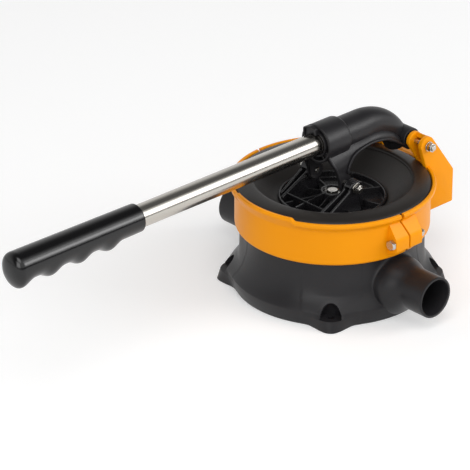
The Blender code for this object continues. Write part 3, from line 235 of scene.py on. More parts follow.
def plate(outline: Array, thickness: float, edge: float, view: View, offset: Point = (0.0, 0.0, 0.0)) -> Shape:
    """Flat plate with rounded edges.

    Over a quarter turn t of the edge, the outline moves in by edge * (1 - sin t) while the face drops by
    edge * (1 - cos t).

    Args:
        outline: n x 2 in the view's plane.
        thickness: across the view.
        edge: radius of the rounded edge.
        view: plane of the outline.
        offset: world place of the outline's origin, in the middle of the thickness.

    Returns:
        The closed skin.
    """
    follow = np.roll(outline, -1, axis=0)
    area = np.sum(outline[:, 0] * follow[:, 1] - outline[:, 1] * follow[:, 0])
    outline = outline if area > 0.0 else outline[::-1]
    ahead = np.roll(outline, -1, axis=0) - np.roll(outline, 1, axis=0)
    inward = np.stack([-ahead[:, 1], ahead[:, 0]], axis=1) / np.linalg.norm(ahead, axis=1)[:, None]
    turn = np.linspace(0.0, math.pi / 2, 5)
    inset = edge * (1 - np.sin(turn))
    level = thickness / 2 - edge * (1 - np.cos(turn))
    inset, level = np.concatenate([inset, inset[::-1]]), np.concatenate([level, -level[::-1]])
    rows = outline + inset[:, None, None] * inward
    local = np.concatenate([rows, np.broadcast_to(level[:, None, None], rows.shape[:2] + (1,))], axis=2)
    return grid(view.place(local, offset))


def swept(path: Array, section: Array, side: Point) -> Shape:
    """Closed section carried along an open path: path + a * normal + b * side.

    Args:
        path: n x 3.
        section: m x 2, or n x m x 2 where it changes along the path.
        side: direction of the section's second axis.

    Returns:
        The closed skin.
    """
    ahead = np.gradient(path, axis=0)
    ahead /= np.linalg.norm(ahead, axis=1)[:, None]
    across = np.array(side) - (ahead @ np.array(side))[:, None] * ahead
    across /= np.linalg.norm(across, axis=1)[:, None]
    normal = np.cross(across, ahead)
    section = np.broadcast_to(section, (len(path),) + section.shape[-2:])
    return grid(path[:, None] + section[..., :1] * normal[:, None] + section[..., 1:] * across[:, None])


def circle(steps: int = 24) -> Array:
    """Unit circle as a closed section."""
    turn = np.arange(steps) * math.tau / steps
    return np.stack([np.cos(turn), np.sin(turn)], axis=1)


def bead(path: Array, radius: float, side: Point) -> Shape:
    """Raised round bead along a path, which runs out to a fifth of its radius at both ends."""
    share = np.linspace(0.0, 1.0, len(path))
    fade = 0.2 + 0.8 * np.clip(np.minimum(share, 1 - share) / 0.08, 0.0, 1.0) ** 0.5
    return swept(path, radius * fade[:, None, None] * circle(12), side)


def hexagon(across: float, rows: Sequence[tuple[float, float]], start: Point, aim: Point) -> Shape:
    """Hexagon with turned ends: radius = the smaller of the flats and each row's own round limit.

    Args:
        across: distance between opposite flats.
        rows: (height, round limit) pairs.
        start: where the axis starts.
        aim: direction of the axis.

    Returns:
        The closed skin.
    """
    turn = np.arange(72) * math.tau / 72
    flats = across / 2 / np.cos((turn + math.pi / 6) % (math.pi / 3) - math.pi / 6)
    table = np.array(rows)
    radius = np.minimum(flats, table[:, 1:])
    return grid(radial(radius, np.broadcast_to(table[:, :1], radius.shape), turn, start, aim))


def smooth_max(one: Array, two: Array, width: float) -> Array:
    """Larger of two values, eased over a width: max + share ** 2 * width / 4 where they come close."""
    share = np.clip(1 - np.abs(one - two) / width, 0.0, 1.0)
    return np.maximum(one, two) + share ** 2 * width / 4


def ease(value: Array) -> Array:
    """Smooth step from 0 to 1."""
    value = np.clip(value, 0.0, 1.0)
    return value * value * (3 - 2 * value)


def make_piece(name: str, shape: Shape, sharp: float = 35.0) -> bpy.types.Object:
    """Turn a skin into an object at the origin.

    Args:
        name: the object's name.
        shape: the skin, in millimetres.
        sharp: edges over this angle in degrees stay sharp.

    Returns:
        The new object, in metres.
    """
    mesh = bpy.data.meshes.new(name)
    faces = shape.quads.tolist() + [cap.tolist() for cap in shape.caps]
    mesh.from_pydata((shape.points * MM).tolist(), [], faces)
    mesh.shade_smooth()
    mesh.set_sharp_from_angle(angle=math.radians(sharp))
    piece = bpy.data.objects.new(name, mesh)
    bpy.context.scene.collection.objects.link(piece)
    return piece


def carved(name: str, base: Shape, steps: Sequence[tuple[str, Shape]], sharp: float = 35.0) -> bpy.types.Object:
    """One skin worked out by exact Booleans.

    Args:
        name: the object's name.
        base: the skin to start from.
        steps: (UNION, DIFFERENCE or INTERSECT, other skin) in order.
        sharp: edges over this angle in degrees stay sharp.

    Returns:
        The new object, with no modifier left on it.
    """
    piece = make_piece(name, base)
    for operation, other in steps:
        tool = make_piece(name + "_tool", other)
        modifier = piece.modifiers.new("carve", "BOOLEAN")
        modifier.operation, modifier.solver, modifier.object = operation, "EXACT", tool
        graph = bpy.context.evaluated_depsgraph_get()
        result = bpy.data.meshes.new_from_object(piece.evaluated_get(graph))
        piece.modifiers.clear()
        old, piece.data = piece.data, result
        tool_mesh = tool.data
        bpy.data.objects.remove(tool)
        bpy.data.meshes.remove(tool_mesh)
        bpy.data.meshes.remove(old)
    piece.data.name = name
    piece.data.shade_smooth()
    piece.data.set_sharp_from_angle(angle=math.radians(sharp))
    return piece


def linear(code: str) -> tuple[float, float, float, float]:
    """Turn an sRGB hex colour into linear light with full alpha."""
    levels = [int(code[start:start + 2], 16) / 255 for start in (1, 3, 5)]
    light = [level / 12.92 if level <= 0.04045 else ((level + 0.055) / 1.055) ** 2.4 for level in levels]
    return light[0], light[1], light[2], 1.0


def add_node(tree: bpy.types.NodeTree, kind: str, settings: dict | None = None,
             links: dict | None = None) -> bpy.types.Node:
    """Add a node with its settings and links.

    Args:
        tree: the material's or the world's node tree.
        kind: the node's type name.
        settings: values by property name, or by socket name or number.
        links: source sockets by socket name or number.

    Returns:
        The new node.
    """
    made = tree.nodes.new(kind)
    for key, value in (settings or {}).items():
        if isinstance(key, str) and hasattr(made, key):
            setattr(made, key, value)
        else:
            made.inputs[key].default_value = value
    for key, source in (links or {}).items():
        tree.links.new(source, made.inputs[key])
    return made


@dataclass(frozen=True)
class Finish:
    """Surface of one material: its name, two shades of its colour and its gloss."""

    name: str
    slot: str
    dark: str
    light: str
    roughness: float
    uneven: float
    cloud_mm: float
    grain_mm: float
    grain_depth: float
    stretch: Point = (1.0, 1.0, 1.0)
    metallic: float = 0.0
    specular: float = 0.5

    def material(self) -> bpy.types.Material:
        """Make the material once.

        Clouds a few centimetres wide drift between the two shades and change the gloss; a finer grain, stretched
        along the way that the surface was worked, gives the bump.

        Returns:
            The material.
        """
        found = bpy.data.materials.get(self.name)
        if found is not None:
            return found
        made = bpy.data.materials.new(self.name)
        made.use_nodes = True
        tree = made.node_tree
        tree.nodes.clear()
        place = add_node(tree, "ShaderNodeTexCoord")
        worked = add_node(tree, "ShaderNodeMapping", {"Scale": self.stretch}, {"Vector": place.outputs["Object"]})
        cloud = add_node(tree, "ShaderNodeTexNoise", {"Scale": 1 / (self.cloud_mm * MM), "Detail": 3.0},
                         {"Vector": worked.outputs[0]})
        grain = add_node(tree, "ShaderNodeTexNoise", {"Scale": 1 / (self.grain_mm * MM), "Detail": 2.0},
                         {"Vector": worked.outputs[0]})
        colour = add_node(tree, "ShaderNodeMix", {"data_type": "RGBA", 6: linear(self.dark), 7: linear(self.light)},
                          {0: cloud.outputs["Fac"]})
        gloss = add_node(tree, "ShaderNodeMapRange", {"To Min": self.roughness - self.uneven,
                                                      "To Max": self.roughness + self.uneven},
                         {"Value": grain.outputs["Fac"]})
        bump = add_node(tree, "ShaderNodeBump", {"Strength": 1.0, "Distance": self.grain_depth * MM},
                        {"Height": grain.outputs["Fac"]})
        shader = add_node(tree, "ShaderNodeBsdfPrincipled",
                          {"Metallic": self.metallic, "Specular IOR Level": self.specular},
                          {"Base Color": colour.outputs[2], "Roughness": gloss.outputs[0],
                           "Normal": bump.outputs[0]})
        add_node(tree, "ShaderNodeOutputMaterial", links={"Surface": shader.outputs[0]})
        return made

    def dress(self, piece: bpy.types.Object) -> None:
        """Give a piece or a carried-over node this finish."""
        piece.data.materials.clear()
        piece.data.materials.append(self.material())


# Glass-filled nylon from a spark-eroded mould: a satin black-grey with a faint cloudiness and a fine even
# texture. The true texture is about 0.3 mm and is drawn at 1.4 mm, so that it shows.
BLACK_NYLON = Finish("spark_textured_black_nylon", "black_nylon", "#1C1B1D", "#232224", 0.38, 0.06, 38.0, 1.4, 0.05,
                     specular=0.3)

# The same nylon from a polished mould: near black and glossy, so that every rib's edge shows as a pale line.
GLOSS_NYLON = Finish("polished_mould_black_nylon", "black_nylon", "#161517", "#1E1D1F", 0.28, 0.05, 38.0, 1.4, 0.02)

# Dyed nylon from a polished mould: a deep, even orange with a soft gloss and slight flow marks up the wall.
ORANGE_NYLON = Finish("moulded_orange_nylon", "orange_nylon", "#ED9200", "#F59C02", 0.38, 0.05, 46.0, 2.2, 0.03,
                      (1.0, 1.0, 0.35), specular=0.15)

# Cured nitrile rubber: brownish black, nearly matt, with a dusty bloom in clouds.
BLACK_RUBBER = Finish("cured_black_rubber", "black_rubber", "#1C1917", "#26221F", 0.42, 0.08, 26.0, 1.6, 0.06,
                      specular=0.35)

# Dipped vinyl: jet black and glossy, with the slow ripple that a dip leaves.
BLACK_VINYL = Finish("dipped_black_vinyl", "black_vinyl", "#050506", "#0A090B", 0.18, 0.03, 30.0, 9.0, 0.06)

# Polished stainless tube: bright mirror bands with fine draw lines along it, drawn at 1.5 mm so that they show.
TUBE_STEEL = Finish("polished_stainless_tube", "polished_steel", "#B9B5AE", "#C6C2BB", 0.2, 0.03, 60.0, 1.5, 0.006,
                    (0.03, 1.0, 1.0), 1.0)

# Cold-headed stainless fasteners: pale grey, softly bright, with the small dents of tumbling.
STAINLESS = Finish("cold_headed_stainless", "stainless", "#BDBAB4", "#D0CDC8", 0.24, 0.08, 12.0, 1.2, 0.05,
                   metallic=1.0)

# Natural acetal, turned: creamy white and waxy with faint turning lines.
ACETAL = Finish("turned_natural_acetal", "acetal", "#DAD5C8", "#E6E2D8", 0.38, 0.06, 20.0, 1.0, 0.03)


def settle(piece: bpy.types.Object, finish: Finish, body: str, *nodes: str) -> bpy.types.Object:
    """Dress a finished piece, let it stand for CAD nodes and hang it on its body.

    Args:
        piece: the finished object.
        finish: its surface.
        body: the body it rides on.
        nodes: the CAD nodes that it replaces.

    Returns:
        The piece.
    """
    finish.dress(piece)
    if nodes:
        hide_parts(*nodes)
    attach(piece, body)
    LOG.info("%s: %d faces on %s", piece.name, len(piece.data.polygons), body)
    return piece


@dataclass
class BodyShell:
    """Moulded bell with its four base lugs and two hose ports."""

    neck: float = 79.5
    chamber: float = 75.0
    height: float = 90.0
    floor: float = 5.0
    fillet: float = 10.0
    skirt: float = 92.5
    flare_top: float = 52.0
    flare_turn: float = 0.94
    edge_top: float = 16.0
    edge_draft: float = 4.0
    edge_ease: float = 4.0
    lug_centre: float = 91.0
    lug_tip: float = 103.2
    lug_draft: float = 3.0
    lug_half: float = 26.0
    lug_sink: float = 1.2
    lug_top: float = 10.2
    mound_top: float = 27.0
    pocket: float = 8.8
    pocket_rise: float = 13.0
    lug_hole: float = 3.25
    axis: float = 31.0
    mouth: float = 129.0
    spigot: float = 19.0
    bore: float = 16.5
    bulb: float = 27.2
    bulb_end: float = 84.0
    taper: float = 22.0
    drop_share: float = 0.5
    root: float = 0.7
    root_crown: float = 3.4
    root_low: float = 0.8
    root_high: float = 58.0

    def bell_radius(self, height: Array) -> Array:
        """Outer radius at a height: the eased smaller of a quarter ellipse that flares out and of a drafted edge."""
        fall = (self.flare_top - height) / (self.flare_top - self.edge_top)
        fall = np.clip(self.flare_turn * fall, 0.0, 0.998)
        share = (1 - np.sqrt(1 - fall ** 2)) / (1 - math.sqrt(1 - self.flare_turn ** 2))
        edge = self.skirt - self.edge_draft * np.clip(1 - height / self.edge_top, 0.0, 1.0) ** 1.5
        return -smooth_max(-self.neck - (self.skirt - self.neck) * share, -edge, self.edge_ease)

    def lug_radius(self, height: Array, off: Array) -> Array:
        """Outer radius of a lug: an ear that swells as a raised cosine and dies away up the bell.

        Along the lug's own axes the ear is a base arc + (tip - base) * (1 + cos(pi * side / half width)) / 2. The
        radius at an angle is found by putting the side that it gives back in, eight times.

        Args:
            height: rows x 1.
            off: angle of each column from the lug's middle.

        Returns:
            Rows x columns.
        """
        base = self.bell_radius(height) - self.lug_sink
        end = self.bell_radius(np.array(self.mound_top)) - self.lug_sink
        climb = np.clip((height - self.lug_top) / (self.mound_top - self.lug_top), 0.0, 1.0)
        tip = self.lug_tip - self.lug_draft * np.clip(height / self.lug_top, 0.0, 1.0)
        tip = tip + (end - self.lug_tip + self.lug_draft) * climb
        radius = np.broadcast_to(base, (len(height), len(off)))
        for _ in range(8):
            side = np.clip(radius * np.sin(off), -self.lug_half, self.lug_half)
            swell = (1 + np.cos(math.pi * side / self.lug_half)) / 2
            radius = (np.sqrt(base ** 2 - side ** 2) + (tip - base) * swell) / np.cos(off)
        return np.where(np.abs(base * np.sin(off)) < self.lug_half, radius, 0.0)

    def bell(self) -> Shape:
        """Bell as a radius over angle and height.

        The radius is the eased larger of the bell's own and of the lugs', and above the lugs' top the eased smaller
        of that and of the near side of each domed screw pocket. The columns crowd together at the lugs.

        Returns:
            The closed skin with its chamber.
        """
        turn = np.arange(480) * math.tau / 480 + 0.0021
        turn = turn + 0.15 * np.sin(4 * turn)
        height = np.concatenate([np.linspace(0.0, 7.0, 8), np.linspace(7.5, self.lug_top - 0.05, 7),
                                 np.linspace(self.lug_top + 0.05, 11.2, 6), np.linspace(11.6, 26.0, 32),
                                 np.linspace(27.0, 40.0, 14), np.linspace(44.0, 89.2, 10)])[:, None]
        off = turn % (math.pi / 2) - math.pi / 4
        side, ahead = self.lug_centre * np.sin(off), self.lug_centre * np.cos(off)
        lug = self.lug_radius(height, off)
        outer = smooth_max(np.broadcast_to(self.bell_radius(height), lug.shape), lug, 3.0)
        rise = np.clip((height - self.lug_top) / self.pocket_rise, 0.0, 1.0)
        room = self.pocket * np.sqrt(1 - rise ** 2)
        pocket = ahead - np.sqrt(np.clip(room ** 2 - side ** 2, 0.0, None))
        pocket = np.where((np.abs(side) < room) & (height > self.lug_top), pocket, 2 * self.skirt)
        outer = -smooth_max(-outer, -pocket, 1.0)
        foot = np.stack([np.full(turn.shape, 0.55 * self.skirt), outer[0] - 3.0, outer[0] - 0.8])
        bend = np.linspace(0.0, math.pi / 2, 9)
        inner_radius = np.concatenate([[self.neck - 0.5, self.neck - 1.4, self.chamber + 1.0, self.chamber + 0.2,
                                        self.chamber, self.chamber],
                                       self.chamber - self.fillet * (1 - np.cos(bend)), [0.4 * self.chamber]])
        inner_height = np.concatenate([[self.height - 0.15, self.height, self.height, self.height - 0.2,
                                        self.height - 1.0, 0.5 * self.height],
                                       self.floor + self.fillet * (1 - np.sin(bend)), [self.floor]])
        inner = np.broadcast_to(inner_radius[:, None], (len(inner_radius), len(turn)))
        radius = np.concatenate([foot, outer, inner])
        level = np.concatenate([[0.0, 0.0, 0.0], height[:, 0] + 0.25 * (height[:, 0] == 0.0), inner_height])
        return grid(radial(radius, np.broadcast_to(level[:, None], radius.shape), turn, (0.0, 0.0, 0.0),
                           (0.0, 0.0, 1.0)))

    def port_radius(self, travel: Array) -> Array:
        """Outer radius of a port: bulb, a sine-squared taper, then the spigot."""
        share = np.clip((self.bulb_end + self.taper - travel) / self.taper, 0.0, 1.0)
        return self.spigot + (self.bulb - self.spigot) * np.sin(share * math.pi / 2) ** 2

    def port_drop(self, travel: Array) -> Array:
        """Drop of the outer section's middle: a share of the swelling, so that the bulb swells mostly downwards."""
        return self.drop_share * (self.port_radius(travel) - self.spigot)

    def port(self, side: int) -> Shape:
        """Port with an eased root.

        Where the port meets the bell is found by halving. The root is a quadratic curve from the port's own wall,
        by the meeting point, to a place on the bell one root radius further out, and then sinks into the wall. The
        eased larger of the height and the root's low limit flattens the bulb's underside.

        Args:
            side: -1 for the outlet, 1 for the inlet.

        Returns:
            The closed, solid skin.
        """
        turn = np.arange(144) * math.tau / 144 + 0.011
        level, sideways = np.sin(turn), np.cos(turn)
        near, far = np.full(turn.shape, 0.75 * self.chamber), np.full(turn.shape, self.mouth)
        for _ in range(24):
            middle = (near + far) / 2
            radius = self.port_radius(middle)
            height = self.axis - self.port_drop(middle) + radius * level
            inside = self.bell_radius(height) > np.hypot(radius * sideways, middle)
            near, far = np.where(inside, middle, near), np.where(inside, far, middle)
        meet = self.port_radius(near)
        sunk = self.port_drop(near)
        centre = self.axis - sunk
        limit = np.where(level > 0, self.root_high - centre, centre - self.root_low) / (np.abs(level) + 1e-6)
        reach = np.clip(limit - meet, 0.2, self.root + self.root_crown * np.maximum(level, 0.0))
        wide = meet + reach
        bell = self.bell_radius(centre + wide * level)
        foot = np.sqrt(np.clip(bell ** 2 - (wide * sideways) ** 2, 0.0, None))
        share = np.linspace(0.0, 1.0, 40)[:, None]
        barrel = self.mouth - 0.8 + (near + reach - self.mouth + 0.8) * share
        bend = np.linspace(0.1, 1.0, 10)[:, None]
        ease_in, ease_mid, ease_out = (1 - bend) ** 2, 2 * bend * (1 - bend), bend ** 2
        travel = np.concatenate([
            np.broadcast_to(np.array([[self.mouth], [self.mouth], [self.mouth - 0.25]]), (3, len(turn))), barrel,
            ease_in * (near + reach) + ease_mid * near + ease_out * foot,
            [foot - 1.4, np.full(turn.shape, (self.neck + self.chamber) / 2)]])
        radius = np.concatenate([
            np.broadcast_to(np.array([[self.bore - 6.0], [self.spigot - 0.8], [self.spigot - 0.25]]), (3, len(turn))),
            self.port_radius(barrel),
            ease_in * self.port_radius(near + reach) + ease_mid * meet + ease_out * wide,
            [wide, np.full(turn.shape, 2.0)]])
        drop = np.concatenate([np.zeros((3, len(turn))), self.port_drop(barrel),
                               ease_in * self.port_drop(near + reach) + (ease_mid + ease_out) * sunk, [sunk, sunk]])
        height = smooth_max(self.axis - drop + radius * level, np.full(radius.shape, self.root_low), 2.0)
        return grid(np.stack([radius * sideways, side * travel, height], axis=-1))

    def port_bore(self, side: int) -> Shape:
        """Cutter for a port's way through: seat counterbore, valve cavity, cone and bore with an eased mouth."""
        profile = [(24.0, 60.0), (24.0, 79.0), (19.3, 79.0), (19.3, 92.0), (self.bore, 100.0),
                   (self.bore, self.mouth - 1.0), (self.bore + 0.25, self.mouth - 0.35),
                   (self.bore + 0.9, self.mouth + 0.3), (self.bore + 0.9, self.mouth + 2.0)]
        return turned(np.array(profile), (0.0, 0.0, self.axis), (0.0, float(side), 0.0), 128)

    def build(self) -> None:
        """Join bell and ports, then cut the ways through and the screw holes."""
        steps = [("UNION", self.port(side)) for side in (-1, 1)]
        steps += [("DIFFERENCE", self.port_bore(side)) for side in (-1, 1)]
        for number in range(4):
            turn = math.radians(45.0 + 90.0 * number)
            spot = (self.lug_centre * math.cos(turn), self.lug_centre * math.sin(turn), -2.0)
            steps.append(("DIFFERENCE", turned(np.array([(self.lug_hole, 0.0), (self.lug_hole, 14.0)]), spot,
                                               steps=32)))
        settle(carved("body_shell", self.bell(), steps), BLACK_NYLON, "pump", "pump_body")


@dataclass
class ClampBand:
    """Orange band of two halves with clamp lugs; the rear half carries the lever's bracket."""

    inner: float = 84.5
    outer: float = 87.5
    bottom: float = 58.5
    top: float = 100.5
    shoulder: float = 4.5
    flange_inner: float = 80.1
    flange_top: float = 61.3
    rim: float = 92.0
    rim_inner: float = 88.6
    rim_low: float = 96.9
    rim_root: float = 92.4
    rim_seat: float = 95.5
    lip_rise: float = 2.6
    lip_half_turn: float = 23.0
    lip_ramp: float = 2.4
    split_gap: float = 3.0
    lug_gap: float = 1.7
    split_lean: float = 15.1
    split_x: float = -0.6
    split_z: float = 84.0
    lug_reach: float = 96.0
    lug_low: float = 67.5
    lug_knee: float = 79.5
    lug_far: float = 16.0
    eye_centre: tuple[float, float] = (79.4, 121.4)
    eye: float = 8.4
    foot_lean: float = 2.0
    back: float = 114.0
    chamfer: float = 87.6
    bracket_low: float = 55.2
    foot_top: float = 101.5
    web: float = 4.0
    inner_wall: tuple[float, float] = (20.8, 24.8)
    outer_wall: tuple[float, float] = (35.5, 40.0)

    def split(self, height: Array, half: Half, gap: float) -> Array:
        """X of a half's end face, which leans with height and stands half a gap off the middle."""
        lean = math.radians(self.split_lean)
        return self.split_x - (height - self.split_z) * math.tan(lean) + half.value * gap / 2 / math.cos(lean)

    def section(self) -> Array:
        """Rounded section of the band as (radius, height)."""
        corners = [(self.rim_inner, self.top), (self.rim, self.top), (self.rim, self.rim_low),
                   (self.outer, self.rim_root), (self.outer, self.bottom), (self.flange_inner, self.bottom),
                   (self.flange_inner, self.flange_top), (self.inner, self.flange_top), (self.inner, self.rim_seat),
                   (self.rim_inner, self.rim_seat)]
        return rounded(np.array(corners), np.array([0.9, 1.3, 1.2, 2.2, 4.5, 0.5, 0.5, 0.6, 0.4, 0.3]))

    def ring(self, half: Half) -> Shape:
        """Section carried around the axis between the two end faces; the front half's lip rises under the handle."""
        radius, height = self.section().T
        edge = np.arccos(self.split(height, half, self.split_gap) / radius)
        share = np.linspace(0.0, 1.0, 260)[:, None]
        turn = edge + (math.tau - 2 * edge) * share if half is Half.FRONT else edge * (1 - 2 * share)
        off = np.degrees(np.abs(turn - math.pi))
        rise = self.lip_rise * ease((self.lip_half_turn - off) / self.lip_ramp + 0.5)
        lift = rise * ease((height - self.rim_root) / (self.rim_low - self.rim_root))
        level = height + (lift if half is Half.FRONT else 0.0 * lift)
        points = np.stack([radius * np.cos(turn), radius * np.sin(turn), level], axis=-1)
        return grid(points)

    def lug(self, half: Half, side: int) -> Shape:
        """Clamp lug of one half: a slope down to an upright front, from its far face to the end face.

        The end face leans above the knee and stands upright below it.

        Args:
            half: the half that carries the lug.
            side: -1 for the outlet's side, 1 for the inlet's.

        Returns:
            The closed skin.
        """
        root = self.inner + 0.4
        corners = np.array([(root, self.lug_low - 4.0), (self.lug_reach, self.lug_low), (self.lug_reach, self.lug_knee),
                            (root, self.lug_knee + 15.0)])
        outline = rounded(corners, np.array([0.5, 1.2, 3.0, 0.5]))
        flat = plate(outline, 2.0, 0.12, View.END)
        share = (1 + half.value * flat.points[:, 0]) / 2
        face = self.split(np.maximum(flat.points[:, 2], self.lug_knee), half, self.lug_gap)
        far = half.value * self.lug_far
        across = face + (far - face) * share
        points = np.stack([across, side * flat.points[:, 1], flat.points[:, 2]], axis=1)
        return Shape(points, flat.quads, flat.caps).outward()

    def cheek_outline(self, offset: float) -> Array:
        """Side view of one bracket wall, whose foot ends inside the band's wall at this distance from the middle."""
        corner = (self.back, self.chamfer)
        across, up = corner[0] - self.eye_centre[0], corner[1] - self.eye_centre[1]
        touch = math.degrees(math.atan2(up, across) + math.acos(self.eye / math.hypot(across, up)))
        low = math.sqrt((self.outer - 1.0) ** 2 - offset ** 2)
        rim = math.sqrt((self.rim_inner + 0.5) ** 2 - offset ** 2)
        lean = rim - self.foot_lean
        return np.concatenate([arc((self.back - 1.2, self.bracket_low + 1.2), 1.2, -90.0, 0.0, 6),
                               [(self.back, self.chamfer - 0.8), (self.back - 0.4, self.chamfer + 0.6)],
                               arc(self.eye_centre, self.eye, touch, 188.0, 28),
                               [(lean, self.foot_top), (lean, self.top), (rim, self.rim_seat), (low, self.rim_seat - 1.0),
                                (low, self.bracket_low)]])

    def bracket(self) -> list[Shape]:
        """Two walls per cheek with a web along the back, the slope and the eye's top, and a ledge between cheeks."""
        shapes = []
        for low, high in (self.inner_wall, self.outer_wall):
            middle = (low + high) / 2
            shapes.append(plate(self.cheek_outline(high), high - low, 0.8, View.SIDE, (0.0, -middle, 0.0)))
        wide = self.outer_wall[0] - self.inner_wall[1] + 1.0
        middle = (self.outer_wall[0] + self.inner_wall[1]) / 2
        inset = self.web / 2 + 0.3
        corner = (self.back - inset, self.chamfer - inset / 2)
        across, up = corner[0] - self.eye_centre[0], corner[1] - self.eye_centre[1]
        touch = math.degrees(math.atan2(up, across) + math.acos((self.eye - inset) / math.hypot(across, up)))
        line = np.concatenate([[(self.back - inset, self.bracket_low + 0.4), (self.back - inset, self.chamfer - 6.0)],
                               [(self.back - inset - 0.3, self.chamfer - 0.6)],
                               arc(self.eye_centre, self.eye - inset, touch, 78.0, 14)])
        path = np.stack([line[:, 0], np.full(len(line), -middle), line[:, 1]], axis=1)
        half = self.web / 2
        section = np.array([(-half, -wide / 2), (-half, wide / 2), (half, wide / 2), (half, -wide / 2)])
        shapes.append(swept(path, section, (0.0, 1.0, 0.0)))
        reach, wide = self.back - 8.0, self.inner_wall[0] + 0.5
        ledge = rounded(np.array([(self.outer - 8.0, -wide), (reach, -wide), (reach, wide), (self.outer - 8.0, wide)]),
                        1.0, 3)
        floor = plate(ledge, 2.6, 0.6, View.TOP, (0.0, 0.0, self.top - 1.6))
        keep = floor.points[:, 0] < self.outer
        edge = np.sqrt((self.rim_inner + 0.6) ** 2 - floor.points[:, 1] ** 2)
        floor.points[:, 0] = np.where(keep, edge, floor.points[:, 0])
        return shapes + [shape.mirrored() for shape in shapes] + [floor]

    def build(self) -> None:
        """Both halves as one skin each."""
        for half, node in ((Half.FRONT, "clamp_ring_front"), (Half.REAR, "clamp_ring_rear")):
            shapes = [self.ring(half)] + [self.lug(half, side) for side in (-1, 1)]
            if half is Half.REAR:
                shapes += self.bracket()
            settle(make_piece(f"clamp_band_{half.name.lower()}", joined(shapes)), ORANGE_NYLON, "pump", node)


@dataclass
class Diaphragm:
    """Rubber diaphragm: the roll and skirt that the band grips, and the bowl that follows the plate."""

    hole: float = 4.3
    disc_top: float = 76.7
    disc_low: float = 73.5
    cup: float = 48.9
    cup_top: float = 84.5
    crest: float = 72.0
    crest_top: float = 103.5
    roll_low: float = 97.8
    edge: float = 88.2
    seat: float = 95.8
    skirt_outer: float = 84.2
    skirt_inner: float = 79.8
    skirt_low: float = 61.6
    neck_seat: float = 90.3
    chamber_edge: float = 75.3
    flank: float = 0.6
    tuck: float = 101.8
    bowl_power: float = 1.35

    def roll(self) -> Shape:
        """Roll: a quarter ellipse from its crest out to the lip, with an eased inner edge, and the skirt below."""
        bend = np.linspace(0.0, math.pi / 2, 22)[:, None]
        top = np.hstack([self.crest + 1.4 + (self.edge - self.crest - 1.4) * np.sin(bend),
                         self.roll_low + (self.crest_top - self.roll_low) * np.cos(bend)])
        section = np.concatenate([
            [(self.crest - 1.2, self.tuck - 1.0), (self.crest - 1.2, self.tuck), (self.crest - 0.8, self.tuck + 0.9),
             (self.crest - 0.1, self.tuck + 1.45)], top,
            [(self.edge, self.seat), (self.skirt_outer, self.seat), (self.skirt_outer, self.skirt_low),
             (self.skirt_inner, self.skirt_low), (self.skirt_inner, self.neck_seat),
             (self.chamber_edge, self.neck_seat), (self.chamber_edge, self.tuck - 4.0)]])
        return turned(section, steps=192, loop=True)

    def bowl(self) -> Shape:
        """Disc, cup and bowl: the bowl climbs from the cup to under the roll by a power of its share.

        Its flank is a thin skin, because the underside comes out on top when the plate turns the bowl over.
        """
        share = np.linspace(0.0, 1.0, 20)[:, None]
        span = self.crest + 0.4 - self.cup
        climb = (self.tuck - self.cup_top) * share ** self.bowl_power
        top = np.hstack([self.cup + span * share, self.cup_top + climb])
        under = np.hstack([self.cup + self.flank + (span - self.flank) * share, self.cup_top + climb - self.flank])
        section = np.concatenate([
            [(self.hole, self.disc_top), (self.cup - 1.0, self.disc_top), (self.cup, self.disc_top + 1.0)], top,
            under[::-1], [(self.cup + self.flank, self.disc_low + 1.6), (self.cup - 1.0, self.disc_low),
                          (self.hole, self.disc_low)]])
        return turned(section, steps=192, loop=True)

    def build(self) -> None:
        """The gripped roll stays with the body; the bowl is baked in place and hangs on no body."""
        settle(make_piece("diaphragm_roll", self.roll(), 50.0), BLACK_RUBBER, "pump", "diaphragm")
        piece = make_piece("diaphragm_bowl", self.bowl(), 50.0)
        BLACK_RUBBER.dress(piece)
        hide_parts("diaphragm")
        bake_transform(piece)
        LOG.info("%s: %d faces between pump and plate", piece.name, len(piece.data.polygons))


